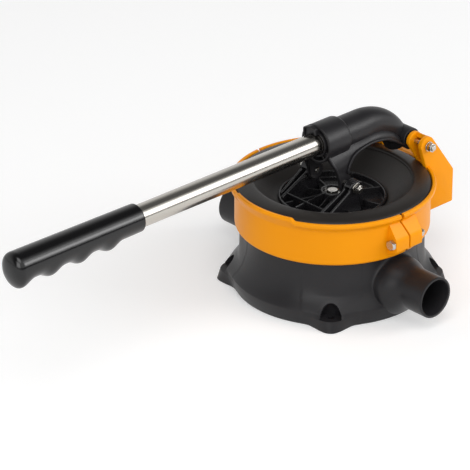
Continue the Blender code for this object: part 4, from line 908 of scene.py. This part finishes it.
@dataclass
class PlateStack:
    """Upper plate with rim, hub, webs and two forks of ears, and the backing plate under the rubber."""

    radius: float = 48.6
    floor_low: float = 77.0
    floor_top: float = 80.0
    rim_inner: float = 46.0
    rim_top: float = 86.8
    hub: float = 11.0
    hub_top: float = 86.0
    hub_ring: float = 8.8
    ring_top: float = 90.4
    hole: float = 4.3
    web: float = 1.5
    link: tuple[float, float] = (-3.0, 104.5)
    slot: float = 3.1
    slot_back: float = 1.8
    slot_ahead: float = 4.2
    ear: float = 3.0
    ear_top: float = 1.9
    neck: tuple[float, float] = (-12.5, 101.6)
    foot_rise: float = 1.5
    ear_middles: tuple[float, float] = (23.88, 30.58)

    def disc(self) -> Shape:
        """Turned floor and rim, and the hub with its ring around the nut, with eased edges."""
        corners = [(self.hole, self.hub_top), (self.hub_ring, self.hub_top), (self.hub_ring, self.ring_top),
                   (self.hub, self.ring_top), (self.hub, self.floor_top), (self.rim_inner, self.floor_top),
                   (self.rim_inner, self.rim_top), (self.radius, self.rim_top), (self.radius, self.floor_low),
                   (self.hole, self.floor_low)]
        reach = np.array([0.3, 0.3, 0.6, 0.8, 1.2, 1.5, 1.4, 1.4, 1.0, 0.3])
        return turned(rounded(np.array(corners), reach, 4), steps=128, loop=True)

    def ear_outline(self, offset: float) -> Array:
        """Side view of an ear: head over the slot, hollow neck, slope to the rim, and the foot in the floor.

        Args:
            offset: distance of the ear's middle from the lever's plane.

        Returns:
            Closed outline with close points, anticlockwise.
        """
        back, front = self.link[0] - self.slot_back, self.link[0] + self.slot_ahead
        head, low = self.slot + self.ear_top, self.floor_top - 1.5
        far = -math.sqrt((self.rim_inner + 1.5) ** 2 - (offset + self.ear / 2) ** 2)
        foot = (far, self.rim_top + self.foot_rise)
        neck = smooth_line(np.array([(back - head, self.link[1]), (back - head - 0.6, self.link[1] - 1.5),
                                     self.neck, (0.75 * self.neck[0] + 0.25 * far, 0.75 * self.neck[1] + 0.25 * foot[1]),
                                     (0.5 * self.neck[0] + 0.5 * far, 0.5 * self.neck[1] + 0.5 * foot[1]), foot]), 40)
        foot_line = np.linspace((far, foot[1] - 0.5), (far, low), 8)
        floor = np.linspace((far + 1.0, low), (front + head - 0.5, low), 40)
        side = np.linspace((front + head, low), (front + head, self.link[1] - 1.0), 16)
        return np.concatenate([side, arc((front, self.link[1]), head, 0.0, 90.0, 14),
                               arc((back, self.link[1]), head, 90.0, 172.0, 14), neck, foot_line, floor])

    def ear_shape(self, offset: float) -> Shape:
        """Ear as rows from its slot out over a rounded edge and back, matched by the angle about the slot's middle."""
        outer = self.ear_outline(offset)
        back, front = self.link[0] - self.slot_back, self.link[0] + self.slot_ahead
        hole = np.concatenate([arc((front, self.link[1]), self.slot, -90.0, 90.0, 40),
                               arc((back, self.link[1]), self.slot, 90.0, 270.0, 40)])
        middle = np.array([(back + front) / 2, self.link[1]])
        angle, hole_angle = (np.arctan2(line[:, 1] - middle[1], line[:, 0] - middle[0]) for line in (outer, hole))
        order = np.argsort(hole_angle)
        inner = np.stack([np.interp(angle, hole_angle[order], hole[order, axis], period=math.tau) for axis in (0, 1)],
                         axis=1)
        ahead = np.roll(outer, -1, axis=0) - np.roll(outer, 1, axis=0)
        inward = np.stack([-ahead[:, 1], ahead[:, 0]], axis=1) / np.linalg.norm(ahead, axis=1)[:, None]
        soft, half = 0.9 * self.ear / 2, self.ear / 2
        turn = np.linspace(0.0, math.pi / 2, 7)
        inset, level = soft * (1 - np.sin(turn)), half - soft * (1 - np.cos(turn))
        inset, level = np.concatenate([inset, inset[::-1]]), np.concatenate([level, -level[::-1]])
        rows = np.concatenate([inner[None], outer + inset[:, None, None] * inward, inner[None]])
        level = np.concatenate([[half], level, [-half]])
        local = np.concatenate([rows, np.broadcast_to(level[:, None, None], rows.shape[:2] + (1,))], axis=2)
        return grid(View.SIDE.place(local, (0.0, -offset, 0.0)), along=True)

    def fork(self) -> list[Shape]:
        """Pair of ears with the cap that bridges their heads."""
        back, front = self.link[0] - self.slot_back, self.link[0] + self.slot_ahead
        head = self.slot + self.ear_top
        line = np.concatenate([arc((front, self.link[1]), head - 1.0, 15.0, 90.0, 10),
                               arc((back, self.link[1]), head - 1.0, 90.0, 165.0, 10)])
        middle = sum(self.ear_middles) / 2
        path = np.stack([line[:, 0], np.full(len(line), -middle), line[:, 1]], axis=1)
        wide = (self.ear_middles[1] - self.ear_middles[0]) / 2
        cap = swept(path, np.array([(-0.8, -wide), (-0.8, wide), (0.8, wide), (0.8, -wide)]), (0.0, 1.0, 0.0))
        return [self.ear_shape(offset) for offset in self.ear_middles] + [cap]

    def webs(self) -> list[Shape]:
        """Thin stiffening webs: one from the hub to the front rim, one across it, and eight spokes."""
        ridge = np.array([(-7.5, 79.0), (-7.5, 91.6), (-46.2, 88.9), (-46.2, 79.0)])
        shapes = [plate(rounded(ridge, 0.6, 3), self.web, 0.7, View.SIDE)]
        cross = np.array([(-24.0, 79.0), (24.0, 79.0), (24.0, 90.9), (-24.0, 90.9)])
        shapes.append(plate(rounded(cross, 0.6, 3), self.web, 0.7, View.END, (-34.4, 0.0, 0.0)))
        spoke = rounded(np.array([(10.0, 79.0), (46.6, 79.0), (46.6, 85.6), (10.0, 88.2)]), 0.6, 3)
        for number in range(8):
            flat = plate(spoke, self.web, 0.7, View.SIDE)
            turn = math.tau * (number + 0.5) / 8
            spin = np.array([(math.cos(turn), math.sin(turn), 0.0), (-math.sin(turn), math.cos(turn), 0.0),
                             (0.0, 0.0, 1.0)])
            shapes.append(Shape(flat.points @ spin, flat.quads, flat.caps))
        return shapes

    def build(self) -> None:
        """Upper plate and backing plate."""
        fork = self.fork()
        shapes = [self.disc()] + self.webs() + fork + [shape.mirrored() for shape in fork]
        settle(make_piece("upper_plate", joined(shapes)), GLOSS_NYLON, "plate", "diaphragm_plate")
        corners = [(self.hole, 73.2), (46.0, 73.2), (47.4, 71.8), (46.0, 70.2), (self.hole, 70.2)]
        settle(make_piece("lower_plate", turned(rounded(np.array(corners), 1.0, 4), steps=128, loop=True)),
               BLACK_NYLON, "plate", "backing_plate")


@dataclass
class LeverArm:
    """Moulded lever: socket collar, arm over the arch, saddle with two legs, and pivot eye."""

    axis: float = 142.5
    arm: float = 15.2
    tail: float = 12.0
    arch_x: float = 30.0
    arch_outer: float = 61.2
    arch_growth: float = 4.0
    sweep: float = 72.0
    collar: float = 18.0
    collar_face: float = -22.0
    collar_back: float = 5.0
    socket: float = 10.5
    socket_end: float = 25.0
    groove: tuple[float, float] = (12.3, 15.6)
    groove_depth: float = 12.0
    pivot: tuple[float, float] = (80.0, 121.0)
    eye: float = 10.0
    eye_hole: float = 5.8
    eye_half: float = 19.4
    link: tuple[float, float] = (-3.0, 104.5)
    link_hole: float = 2.8
    leg_eye: float = 7.5
    half_width: float = 21.0
    narrowing: float = 0.0263
    wall: float = 4.0
    flange: float = 2.0
    flange_wide: float = 2.4
    crown: float = 9.0
    drop_front: float = 18.5
    drop_back: float = 6.0

    def arm_line(self) -> tuple[Array, Array]:
        """Middle line of the arm with its radius: straight, then an arch whose radius grows as the arm thins."""
        straight = np.linspace(2.0, self.arch_x, 8)[:-1]
        share = np.linspace(0.0, 1.0, 40)
        turn = np.radians(self.sweep) * share
        radius = self.arm + (self.tail - self.arm) * share
        reach = self.arch_outer + self.arch_growth * share - radius
        across = np.concatenate([straight, self.arch_x + reach * np.sin(turn)])
        level = np.concatenate([np.full(straight.shape, self.axis),
                                self.axis + self.arm - self.arch_outer + reach * np.cos(turn)])
        path = np.stack([across, np.zeros(across.shape), level], axis=1)
        return path, np.concatenate([np.full(straight.shape, self.arm), radius])

    def half(self, across: Array) -> Array:
        """Half the saddle's width at a place along X."""
        return self.half_width - self.narrowing * across

    def shoulder(self, across: Array) -> tuple[Array, Array]:
        """Heights of the saddle's roof and shoulder at a place along X."""
        path, _ = self.arm_line()
        roof = np.interp(across, path[:, 0], path[:, 2]) - 1.0
        share = np.clip((across + 20.0) / 49.0, 0.0, 1.0)
        return roof, roof - (self.drop_front + (self.drop_back - self.drop_front) * share)

    def side_view(self) -> Array:
        """Side view of the saddle: legs around the link, waist, arch and tail."""
        arch = smooth_line(np.array([(4.0, 110.2), (-0.5, 114.5), (2.2, 122.5), (10.0, 130.0), (29.0, 133.5),
                                     (47.0, 131.0), (58.0, 126.0), (68.0, 119.8), (75.0, 115.5)]), 60)
        front = smooth_line(np.array([(-20.0, 137.0), (-18.4, 128.0), (-14.0, 116.5), (-10.3, 107.0)]), 16)
        return np.concatenate([front[:-1], arc(self.link, self.leg_eye, 170.0, 390.0, 28), arch[6:],
                               [(80.0, 121.0), (80.0, 160.0), (-20.0, 160.0)]])

    def saddle(self) -> Shape:
        """Inverted channel lofted along X: outer and inner corners at each station, with eased shoulders."""
        across = np.linspace(-25.0, 86.0, 48)
        roof, shoulder = self.shoulder(across)
        half, low = self.half(across) - self.flange, np.full(across.shape, 92.0)
        inside, crown = self.half(across) - self.wall, np.full(across.shape, self.crown)
        corners = [(-half, low), (-half, shoulder), (-crown, roof), (crown, roof), (half, shoulder), (half, low),
                   (inside, low), (inside, shoulder - 2.0), (crown / 2, roof - self.wall),
                   (-crown / 2, roof - self.wall), (-inside, shoulder - 2.0), (-inside, low)]
        loop = rounded(np.stack([np.stack(pair, axis=-1) for pair in corners], axis=1),
                       np.array([0.1, 7.0, 5.0, 5.0, 7.0, 0.1, 0.1, 6.0, 4.0, 4.0, 6.0, 0.1]), 7)
        points = np.concatenate([np.broadcast_to(across[:, None, None], loop.shape[:2] + (1,)), loop], axis=2)
        return grid(points)

    def on_saddle(self, line: Array) -> Array:
        """Lift a side-view line onto the saddle's outer wall on the outlet's side."""
        roof, shoulder = self.shoulder(line[:, 0])
        half = self.half(line[:, 0]) - self.flange
        climb = np.clip((line[:, 1] - shoulder) / (roof - shoulder), 0.0, 1.0)
        return np.stack([line[:, 0], -(half - (half - self.crown) * climb), line[:, 1]], axis=1)

    def flanges(self) -> list[Shape]:
        """Raised flanges along the arch and down the front of each leg, with rounded edges."""
        outline = self.side_view()
        half = self.flange_wide / 2
        section = rounded(np.array([(-half, 0.4), (half, 0.4), (half, -self.flange), (-half, -self.flange)]), 1.1, 6)
        lines = (outline[43:-5], outline[:42])
        shapes = [swept(self.on_saddle(line), section, (0.0, 1.0, 0.0)) for line in lines]
        return shapes + [shape.mirrored() for shape in shapes]

    def block(self) -> list[Shape]:
        """Squared block that stands out of the collar's face over the tube, on the far side, with a sunk face."""
        outline = np.array([(11.0, 146.8), (12.0, 148.0), (12.2, 156.0), (11.0, 157.0), (3.2, 159.6), (-3.0, 158.4),
                            (-4.2, 152.6), (0.0, 153.3), (5.0, 152.0), (9.0, 149.2)])
        soft = rounded(outline, 0.6, 3)
        middle = outline.mean(axis=0)
        inner = middle + (soft - middle) * 0.74
        rows = [(inner, 1.6), (inner, 0.2), (soft + (middle - soft) * 0.05, 0.0), (soft, 0.5), (soft, 8.0)]
        points = np.stack([np.hstack([np.full((len(row), 1), self.collar_face - 4.0 + depth), row])
                           for row, depth in rows])
        return [grid(points)]

    def socket_collar(self) -> list[Shape]:
        """Collar with its ribbed ring groove."""
        low, high = self.groove
        length = self.socket_end - self.collar_face
        back = self.collar_back - self.collar_face
        corners = [(self.socket, 0.0), (low, 0.0), (low, self.groove_depth), (high, self.groove_depth), (high, 0.0),
                   (self.collar, 0.0), (self.collar, back), (self.arm - 0.4, back + 2.2), (self.arm - 0.6, length),
                   (self.socket, length)]
        profile = rounded(np.array(corners), np.array([0.5, 0.5, 0.8, 0.8, 0.6, 1.2, 2.0, 1.0, 0.3, 0.3]), 4)
        shapes = [turned(profile, (self.collar_face, 0.0, self.axis), (1.0, 0.0, 0.0), 96, loop=True)]
        rib = rounded(np.array([(self.collar_face + 3.0, low - 0.3), (self.collar_face + 3.0, high + 0.3),
                                (self.collar_face + 13.0, high + 0.3), (self.collar_face + 13.0, low - 0.3)]), 0.3, 2)
        for number in range(10):
            turn = math.tau * (number + 0.25) / 10
            flat = plate(rib, 1.3, 0.3, View.SIDE)
            spin = np.array([(1.0, 0.0, 0.0), (0.0, math.cos(turn), math.sin(turn)),
                             (0.0, -math.sin(turn), math.cos(turn))])
            shapes.append(Shape(flat.points @ spin + np.array([0.0, 0.0, self.axis]), flat.quads, flat.caps))
        return shapes

    def build(self) -> None:
        """Cut the saddle to its side view, bore it for the link, and join arm, collar, eye and beads to it."""
        side = plate(self.side_view(), 160.0, 0.0, View.SIDE)
        link = turned(np.array([(self.link_hole, 0.0), (self.link_hole, 80.0)]),
                      (self.link[0], -40.0, self.link[1]), (0.0, 1.0, 0.0), 40)
        socket = turned(np.array([(self.socket + 1.0, 0.0), (self.socket + 1.0, 46.0)]),
                        (self.collar_face - 1.0, 0.0, self.axis), (1.0, 0.0, 0.0), 64)
        eye_hole = turned(np.array([(self.eye_hole, 0.0), (self.eye_hole, 80.0)]),
                          (self.pivot[0], -40.0, self.pivot[1]), (0.0, 1.0, 0.0), 48)
        saddle = carved("lever_saddle", self.saddle(), [("INTERSECT", side), ("DIFFERENCE", link),
                                                        ("DIFFERENCE", socket), ("DIFFERENCE", eye_hole)], 30.0)
        settle(saddle, BLACK_NYLON, "lever", "lever_arm")
        path, radius = self.arm_line()
        arm = swept(path, radius[:, None, None] * circle(72), (0.0, 1.0, 0.0))
        bore = turned(np.array([(self.socket, 0.0), (self.socket, self.socket_end)]), (0.0, 0.0, self.axis),
                      (1.0, 0.0, 0.0), 64)
        settle(carved("lever_tube_arm", arm, [("DIFFERENCE", bore), ("DIFFERENCE", eye_hole)], 30.0), BLACK_NYLON,
               "lever")
        eye = [(self.eye_hole, 0.0), (self.eye, 0.0), (self.eye, 2 * self.eye_half), (self.eye_hole, 2 * self.eye_half)]
        shapes = self.socket_collar() + self.flanges() + self.block()
        shapes.append(turned(rounded(np.array(eye), 0.9, 4), (self.pivot[0], -self.eye_half, self.pivot[1]),
                             (0.0, 1.0, 0.0), 72, loop=True))
        settle(make_piece("lever_collar_eye_flanges", joined(shapes)), BLACK_NYLON, "lever")


@dataclass
class Handle:
    """Steel tube pushed into the lever's socket, with a dipped grip on its end."""

    axis: float = 142.5
    tube: float = 10.2
    tube_wall: float = 1.2
    tube_start: float = 24.7
    tube_end: float = -352.0
    grip_mouth: float = -233.0
    grip_length: float = 140.0
    bore: float = 10.5
    mouth_wall: float = 2.2
    end_wall: float = 3.4
    dome: float = 9.0
    first: float = 35.5
    pitch: float = 32.0
    count: int = 4
    depth: float = 5.0

    def grip(self) -> Shape:
        """Grip as a radius over travel and angle.

        The radius widens evenly to the end and closes in a squared ellipse. Below, one narrow crest per finger,
        (0.5 + 0.5 cos) to a power, is added to the depth, times the downward share to a power. The mouth is eased
        and the bore runs up the tube.

        Returns:
            The closed skin.
        """
        turn = np.arange(96) * math.tau / 96
        dome = self.grip_length - self.dome * (1 - np.sin(np.linspace(0.0, math.pi / 2 - 0.06, 20)))
        travel = np.concatenate([np.linspace(0.9, self.grip_length - self.dome, 150)[:-1], dome])[:, None]
        plain = self.bore + self.mouth_wall + (self.end_wall - self.mouth_wall) * travel / self.grip_length
        into = np.clip((travel - self.grip_length + self.dome) / self.dome, 0.0, 1.0)
        close = (1 - into ** 2.4) ** (1 / 2.4)
        down = np.clip(-np.sin(turn), 0.0, 1.0)
        start = self.first - self.pitch / 2
        on = (travel > start) & (travel < start + self.count * self.pitch)
        wave = np.where(on, 0.5 + 0.5 * np.cos(math.tau * (travel - self.first) / self.pitch), 0.0)
        outer = (plain + self.depth * wave ** 1.4 * down ** 1.8) * close
        lip = np.array([[self.bore, 100.0], [self.bore, 0.6], [self.bore + 0.5, 0.1], [self.bore + 1.2, 0.0],
                        [self.bore + self.mouth_wall - 0.5, 0.1], [self.bore + self.mouth_wall - 0.1, 0.45]])
        lip_rows = np.broadcast_to(lip[:, :1], (len(lip), len(turn)))
        radius = np.concatenate([lip_rows, outer])
        along = np.concatenate([np.broadcast_to(lip[:, 1:], lip_rows.shape), np.broadcast_to(travel, outer.shape)])
        points = np.stack([self.grip_mouth - along, radius * np.cos(turn), self.axis + radius * np.sin(turn)], axis=-1)
        return grid(points)

    def build(self) -> None:
        """Tube and grip."""
        length = self.tube_start - self.tube_end
        corners = [(self.tube - self.tube_wall, 0.0), (self.tube, 0.0), (self.tube, length),
                   (self.tube - self.tube_wall, length)]
        tube = turned(rounded(np.array(corners), 0.4, 4), (self.tube_end, 0.0, self.axis), (1.0, 0.0, 0.0), 128,
                      loop=True)
        settle(make_piece("handle_steel_tube", tube), TUBE_STEEL, "lever", "handle_tube")
        settle(make_piece("handle_vinyl_grip", self.grip(), 50.0), BLACK_VINYL, "lever", "handle_grip")


@dataclass
class Fastener:
    """Bolt with its nut and washer on one line."""

    label: str
    body: str
    head_seat: Point
    aim: Point
    length: float
    shank: float
    across: float
    head: float
    nut_at: float
    nut: float
    head_share: float = 1.0

    def bolt(self) -> Shape:
        """Hexagon head with a turned crown and a washer face, then the shank with thread crests on its last part."""
        across = self.head_share * self.across
        corner = across / 2 / math.cos(math.pi / 6)
        head = hexagon(across, [(0.0, 0.47 * across), (0.25, 0.48 * across), (0.3, corner), (self.head - 0.55, corner),
                                (self.head - 0.25, corner - 0.32), (self.head, 0.46 * across),
                                (self.head - 0.12, 0.3 * across)],
                       self.head_seat, tuple(-value for value in self.aim))
        crest = np.linspace(0.0, self.length, int(self.length / 0.2))
        thread = np.where(crest > self.nut_at - 1.0, 0.14 * np.abs((crest / 0.8) % 1.0 - 0.5) * 2, 0.0)
        end = np.clip((crest - self.length + 0.6) / 0.6, 0.0, 1.0) * 0.5
        shank = turned(np.stack([self.shank - thread - end, crest - 0.2], axis=1), self.head_seat, self.aim, 32)
        return joined([head, shank])

    def nut_shape(self) -> Shape:
        """Hexagon nut with both ends turned to a cone."""
        corner = self.across / 2 / math.cos(math.pi / 6)
        rows = [(0.0, 0.46 * self.across), (0.3, corner - 0.25), (0.5, corner), (self.nut - 0.5, corner),
                (self.nut - 0.3, corner - 0.25), (self.nut, 0.46 * self.across),
                (self.nut - 0.1, self.shank + 0.5)]
        start = np.array(self.head_seat) + self.nut_at * np.array(self.aim)
        return hexagon(self.across, rows, tuple(start), self.aim)

    def build(self) -> None:
        """Bolt and nut."""
        settle(make_piece(f"{self.label}_hex_bolt", self.bolt(), 25.0), STAINLESS, self.body,
               *BOLT_NODES[self.label])
        settle(make_piece(f"{self.label}_hex_nut", self.nut_shape(), 25.0), STAINLESS, self.body,
               *NUT_NODES[self.label])


BOLT_NODES = {"clamp_outlet": ("clamp_bolt_outlet",), "clamp_inlet": ("clamp_bolt_inlet",),
              "pivot": ("pivot_bolt",), "link_outlet": ("link_bolt_outlet",), "link_inlet": ("link_bolt_inlet",),
              "centre": ("centre_bolt",)}
NUT_NODES = {"clamp_outlet": ("clamp_nut_outlet",), "clamp_inlet": ("clamp_nut_inlet",),
             "pivot": ("pivot_nut",), "link_outlet": ("link_nut_outlet",), "link_inlet": ("link_nut_inlet",),
             "centre": ("centre_nut",)}


@dataclass
class Hardware:
    """All bolts, nuts and washers."""

    def fasteners(self) -> list[Fastener]:
        """Bolts with their nuts, each from the underside of its head along its shank."""
        made = [Fastener("pivot", "pump", (80.0, 41.8, 121.0), (0.0, -1.0, 0.0), 89.6, 2.7, 7.6, 4.0, 83.6, 4.2),
                Fastener("centre", "plate", (0.0, 0.0, 69.9), (0.0, 0.0, 1.0), 20.8, 3.0, 9.6, 5.3, 17.9, 2.7)]
        for name, side in (("outlet", -1.0), ("inlet", 1.0)):
            made.append(Fastener(f"clamp_{name}", "pump", (-16.3, side * 91.2, 75.0), (1.0, 0.0, 0.0), 38.8, 2.3, 6.8,
                                 3.6, 32.6, 3.6, 1.25))
            made.append(Fastener(f"link_{name}", "lever", (-3.0, side * 16.78, 104.5), (0.0, side, 0.0), 22.3, 2.5,
                                 7.4, 0.6, 17.1, 3.6, 0.62))
        return made

    def washer(self, outer: float, inner: float, start: Point, aim: Point) -> Shape:
        """Stamped washer with eased edges."""
        corners = [(inner, 0.0), (outer, 0.0), (outer, 1.2), (inner, 1.2)]
        return turned(rounded(np.array(corners), 0.3, 4), start, aim, 64, loop=True)

    def build(self) -> None:
        """Every fastener and washer."""
        for fastener in self.fasteners():
            fastener.build()
        spots = (("pivot_head", "pump", "pivot_washer_head", 4.6, 3.3, (80.0, 40.3, 121.0), (0.0, 1.0, 0.0)),
                 ("pivot_nut", "pump", "pivot_washer_nut", 4.6, 3.3, (80.0, -40.3, 121.0), (0.0, -1.0, 0.0)),
                 ("centre", "plate", "centre_washer", 8.5, 4.3, (0.0, 0.0, 86.3), (0.0, 0.0, 1.0)),
                 ("link_outlet", "lever", "link_washer_outlet", 5.0, 2.8, (-3.0, -32.4, 104.5), (0.0, -1.0, 0.0)),
                 ("link_inlet", "lever", "link_washer_inlet", 5.0, 2.8, (-3.0, 32.4, 104.5), (0.0, 1.0, 0.0)))
        for label, body, node, outer, inner, start, aim in spots:
            settle(make_piece(f"{label}_flat_washer", self.washer(outer, inner, start, aim)), STAINLESS, body, node)


@dataclass
class Valves:
    """Rubber flaps in the ports; seats, pins and screws are the CAD's own."""

    axis: float = 31.0
    flap: float = 12.5
    thick: float = 2.4
    rise: float = 14.8
    knuckle: float = 2.0
    knuckle_half: float = 4.5
    neck_half: float = 3.75
    pin: float = 1.3

    def flap_shape(self, start: float, way: float, hinge: float) -> Shape:
        """Flap: a domed disc, its neck and the knuckle on its pin.

        Args:
            start: Y of the face that lies on the seat.
            way: direction in which the flap's back faces.
            hinge: Y of the pin.

        Returns:
            The closed skins as one.
        """
        profile = [(self.flap - 0.6, 0.0), (self.flap, 0.5), (self.flap, 1.3), (self.flap - 0.8, 1.8),
                   (0.6 * self.flap, self.thick), (0.5, self.thick)]
        disc = turned(np.array(profile), (0.0, start, self.axis), (0.0, way, 0.0), 96)
        neck = np.array([(-self.neck_half, self.axis + 8.0), (self.neck_half, self.axis + 8.0),
                         (self.neck_half, self.axis + self.rise - 1.5), (-self.neck_half, self.axis + self.rise - 1.5)])
        flat = plate(rounded(neck, 0.8, 4), self.thick, 0.4, View.TOP)
        points = flat.points[:, [0, 2, 1]] + np.array([0.0, start + way * self.thick / 2, 0.0])
        ring = [(self.pin, 0.0), (self.knuckle, 0.0), (self.knuckle, 2 * self.knuckle_half),
                (self.pin, 2 * self.knuckle_half)]
        knuckle = turned(rounded(np.array(ring), 0.2, 3), (-self.knuckle_half, hinge, self.axis + self.rise),
                         (1.0, 0.0, 0.0), 40, loop=True)
        return joined([disc, Shape(points, flat.quads, flat.caps).outward(), knuckle])

    def build(self) -> None:
        """Replace the flaps and dress the seats, pins and screws."""
        settle(make_piece("outlet_rubber_flap", self.flap_shape(-79.0, -1.0, -81.0)), BLACK_RUBBER, "outlet_flap",
               "outlet_valve_flap")
        settle(make_piece("inlet_rubber_flap", self.flap_shape(74.4, -1.0, 72.4)), BLACK_RUBBER, "inlet_flap",
               "inlet_valve_flap")
        nodes = frame["nodes"]
        for port in ("outlet", "inlet"):
            ACETAL.dress(nodes[f"{port}_valve_seat"])
            for label in ("hinge_pin", "seat_screw_1", "seat_screw_2"):
                STAINLESS.dress(nodes[f"{port}_{label}"])
        ACETAL.dress(nodes["pivot_bush"])


@dataclass
class Studio:
    """Pale floor, soft lamps and the camera of the photograph."""

    azimuth: float = -43.156
    elevation: float = 26.992
    distance: float = 3001.0
    aim_height: float = 60.0
    shift_right: float = -86.914
    shift_up: float = -13.453
    focal_px: float = 3355.0
    frame_px: float = 470.0
    sensor: float = 36.0
    floor_lift: float = 0.3
    surround: float = 1.25

    def camera(self) -> None:
        """Camera on a sphere about the pump's axis, moved sideways in its own plane to the photograph's framing."""
        azimuth, elevation = math.radians(self.azimuth), math.radians(self.elevation)
        right = Vector((math.cos(azimuth), math.sin(azimuth), 0.0))
        back = Vector((math.sin(azimuth) * math.cos(elevation), -math.cos(azimuth) * math.cos(elevation),
                       math.sin(elevation)))
        up = back.cross(right)
        spot = (Vector((0.0, 0.0, self.aim_height)) + right * self.shift_right + up * self.shift_up
                + back * self.distance) * MM
        data = bpy.data.cameras.new("photo_camera")
        data.sensor_width = self.sensor
        data.lens = self.focal_px / self.frame_px * self.sensor
        data.clip_end = 20.0
        item = bpy.data.objects.new("photo_camera", data)
        item.matrix_world = Matrix.Translation(spot) @ Matrix((right, up, back)).transposed().to_4x4()
        bpy.context.scene.collection.objects.link(item)
        bpy.context.scene.camera = item

    def floor(self) -> None:
        """Wide pale floor that shows white to the camera and to reflections, and keeps the shadow."""
        side = np.linspace(-12000.0, 12000.0, 13)
        across, ahead = np.meshgrid(side, side, indexing="ij")
        points = np.stack([across, ahead, np.full(across.shape, -0.15)], axis=-1)
        index = np.arange(across.size).reshape(across.shape)
        quads = np.stack([index[:-1, :-1], index[1:, :-1], index[1:, 1:], index[:-1, 1:]], axis=-1).reshape(-1, 4)
        floor = make_piece("studio_floor", Shape(points.reshape(-1, 3), quads, []))
        made = bpy.data.materials.new("pale_studio_floor")
        made.use_nodes = True
        tree = made.node_tree
        tree.nodes.clear()
        path = add_node(tree, "ShaderNodeLightPath")
        seen = add_node(tree, "ShaderNodeMath", {"operation": "MAXIMUM"},
                        {0: path.outputs["Is Camera Ray"], 1: path.outputs["Is Glossy Ray"]})
        through = add_node(tree, "ShaderNodeMath", {"operation": "MAXIMUM"},
                           {0: seen.outputs[0], 1: path.outputs["Is Transmission Ray"]})
        lift = add_node(tree, "ShaderNodeMath", {"operation": "MULTIPLY", 1: self.floor_lift}, {0: through.outputs[0]})
        matt = add_node(tree, "ShaderNodeBsdfDiffuse", {"Color": linear("#E6E6E6")})
        glow = add_node(tree, "ShaderNodeEmission", {"Color": linear("#FFFFFF")}, {"Strength": lift.outputs[0]})
        both = add_node(tree, "ShaderNodeAddShader", links={0: matt.outputs[0], 1: glow.outputs[0]})
        add_node(tree, "ShaderNodeOutputMaterial", links={"Surface": both.outputs[0]})
        floor.data.materials.append(made)

    def lamp(self, name: str, spot: Point, aim: Point, size: tuple[float, float], power: float) -> None:
        """Soft rectangular lamp, placed and aimed in metres."""
        data = bpy.data.lights.new(name, "AREA")
        data.shape, data.size, data.size_y, data.energy = "RECTANGLE", size[0], size[1], power
        item = bpy.data.objects.new(name, data)
        item.matrix_world = (Matrix.Translation(spot)
                             @ (Vector(spot) - Vector(aim)).to_track_quat("Z", "Y").to_matrix().to_4x4())
        bpy.context.scene.collection.objects.link(item)

    def world(self) -> None:
        """Studio surround by the angle about X, from the camera's side over the top to the back.

        A white wall in front, a dark ceiling and a grey back wall, so that polished pieces show bright and dark
        bands.
        """
        world = bpy.data.worlds.new("studio_surround")
        bpy.context.scene.world = world
        world.use_nodes = True
        tree = world.node_tree
        tree.nodes.clear()
        place = add_node(tree, "ShaderNodeTexCoord")
        parts = add_node(tree, "ShaderNodeSeparateXYZ", links={0: place.outputs["Generated"]})
        front = add_node(tree, "ShaderNodeMath", {"operation": "MULTIPLY", 1: -1.0}, {0: parts.outputs[1]})
        angle = add_node(tree, "ShaderNodeMath", {"operation": "ARCTAN2"}, {0: parts.outputs[2], 1: front.outputs[0]})
        share = add_node(tree, "ShaderNodeMapRange", {"From Min": 0.0, "From Max": math.pi}, {"Value": angle.outputs[0]})
        ramp = add_node(tree, "ShaderNodeValToRGB", links={0: share.outputs[0]})
        stops = ((0.0, 0.1), (0.045, 0.1), (0.07, 0.9), (0.28, 0.9), (0.33, 0.55), (0.39, 0.1), (0.58, 0.1),
                 (0.66, 0.2), (0.74, 0.5), (0.85, 0.7), (1.0, 0.75))
        bands = ramp.color_ramp.elements
        bands.remove(bands[1])
        for spot, level in stops:
            stop = bands.new(spot) if spot else bands[0]
            stop.color = (level, level, level, 1.0)
        glow = add_node(tree, "ShaderNodeBackground", {"Strength": self.surround}, {"Color": ramp.outputs[0]})
        add_node(tree, "ShaderNodeOutputWorld", links={"Surface": glow.outputs[0]})

    def build(self) -> None:
        """Camera, floor, surround and lamps."""
        self.camera()
        self.floor()
        self.world()
        self.lamp("softbox_broad", (1.39, -1.7, 1.2), (-0.15, 0.0, 0.14), (1.5, 1.4), 10.6)
        self.lamp("softbox_core", (1.3, -1.62, 1.06), (-0.15, 0.0, 0.14), (1.3, 0.5), 9.0)
        self.lamp("softbox_left", (-1.9, -0.9, 1.0), (0.0, 0.0, 0.08), (1.2, 1.2), 10.0)
        self.lamp("softbox_top", (-0.8, -0.7, 2.0), (0.0, 0.0, 0.08), (1.2, 1.2), 13.0)
        bpy.context.scene.view_settings.view_transform = "Standard"


def main() -> None:
    """Build every sub-assembly in order."""
    logging.basicConfig(level=logging.INFO, format="%(message)s")
    Studio().build()
    for part in (BodyShell(), ClampBand(), Diaphragm(), PlateStack(), LeverArm(), Handle(), Hardware(), Valves()):
        part.build()
        LOG.info("%s built", type(part).__name__)


if __name__ == "__main__":
    main()
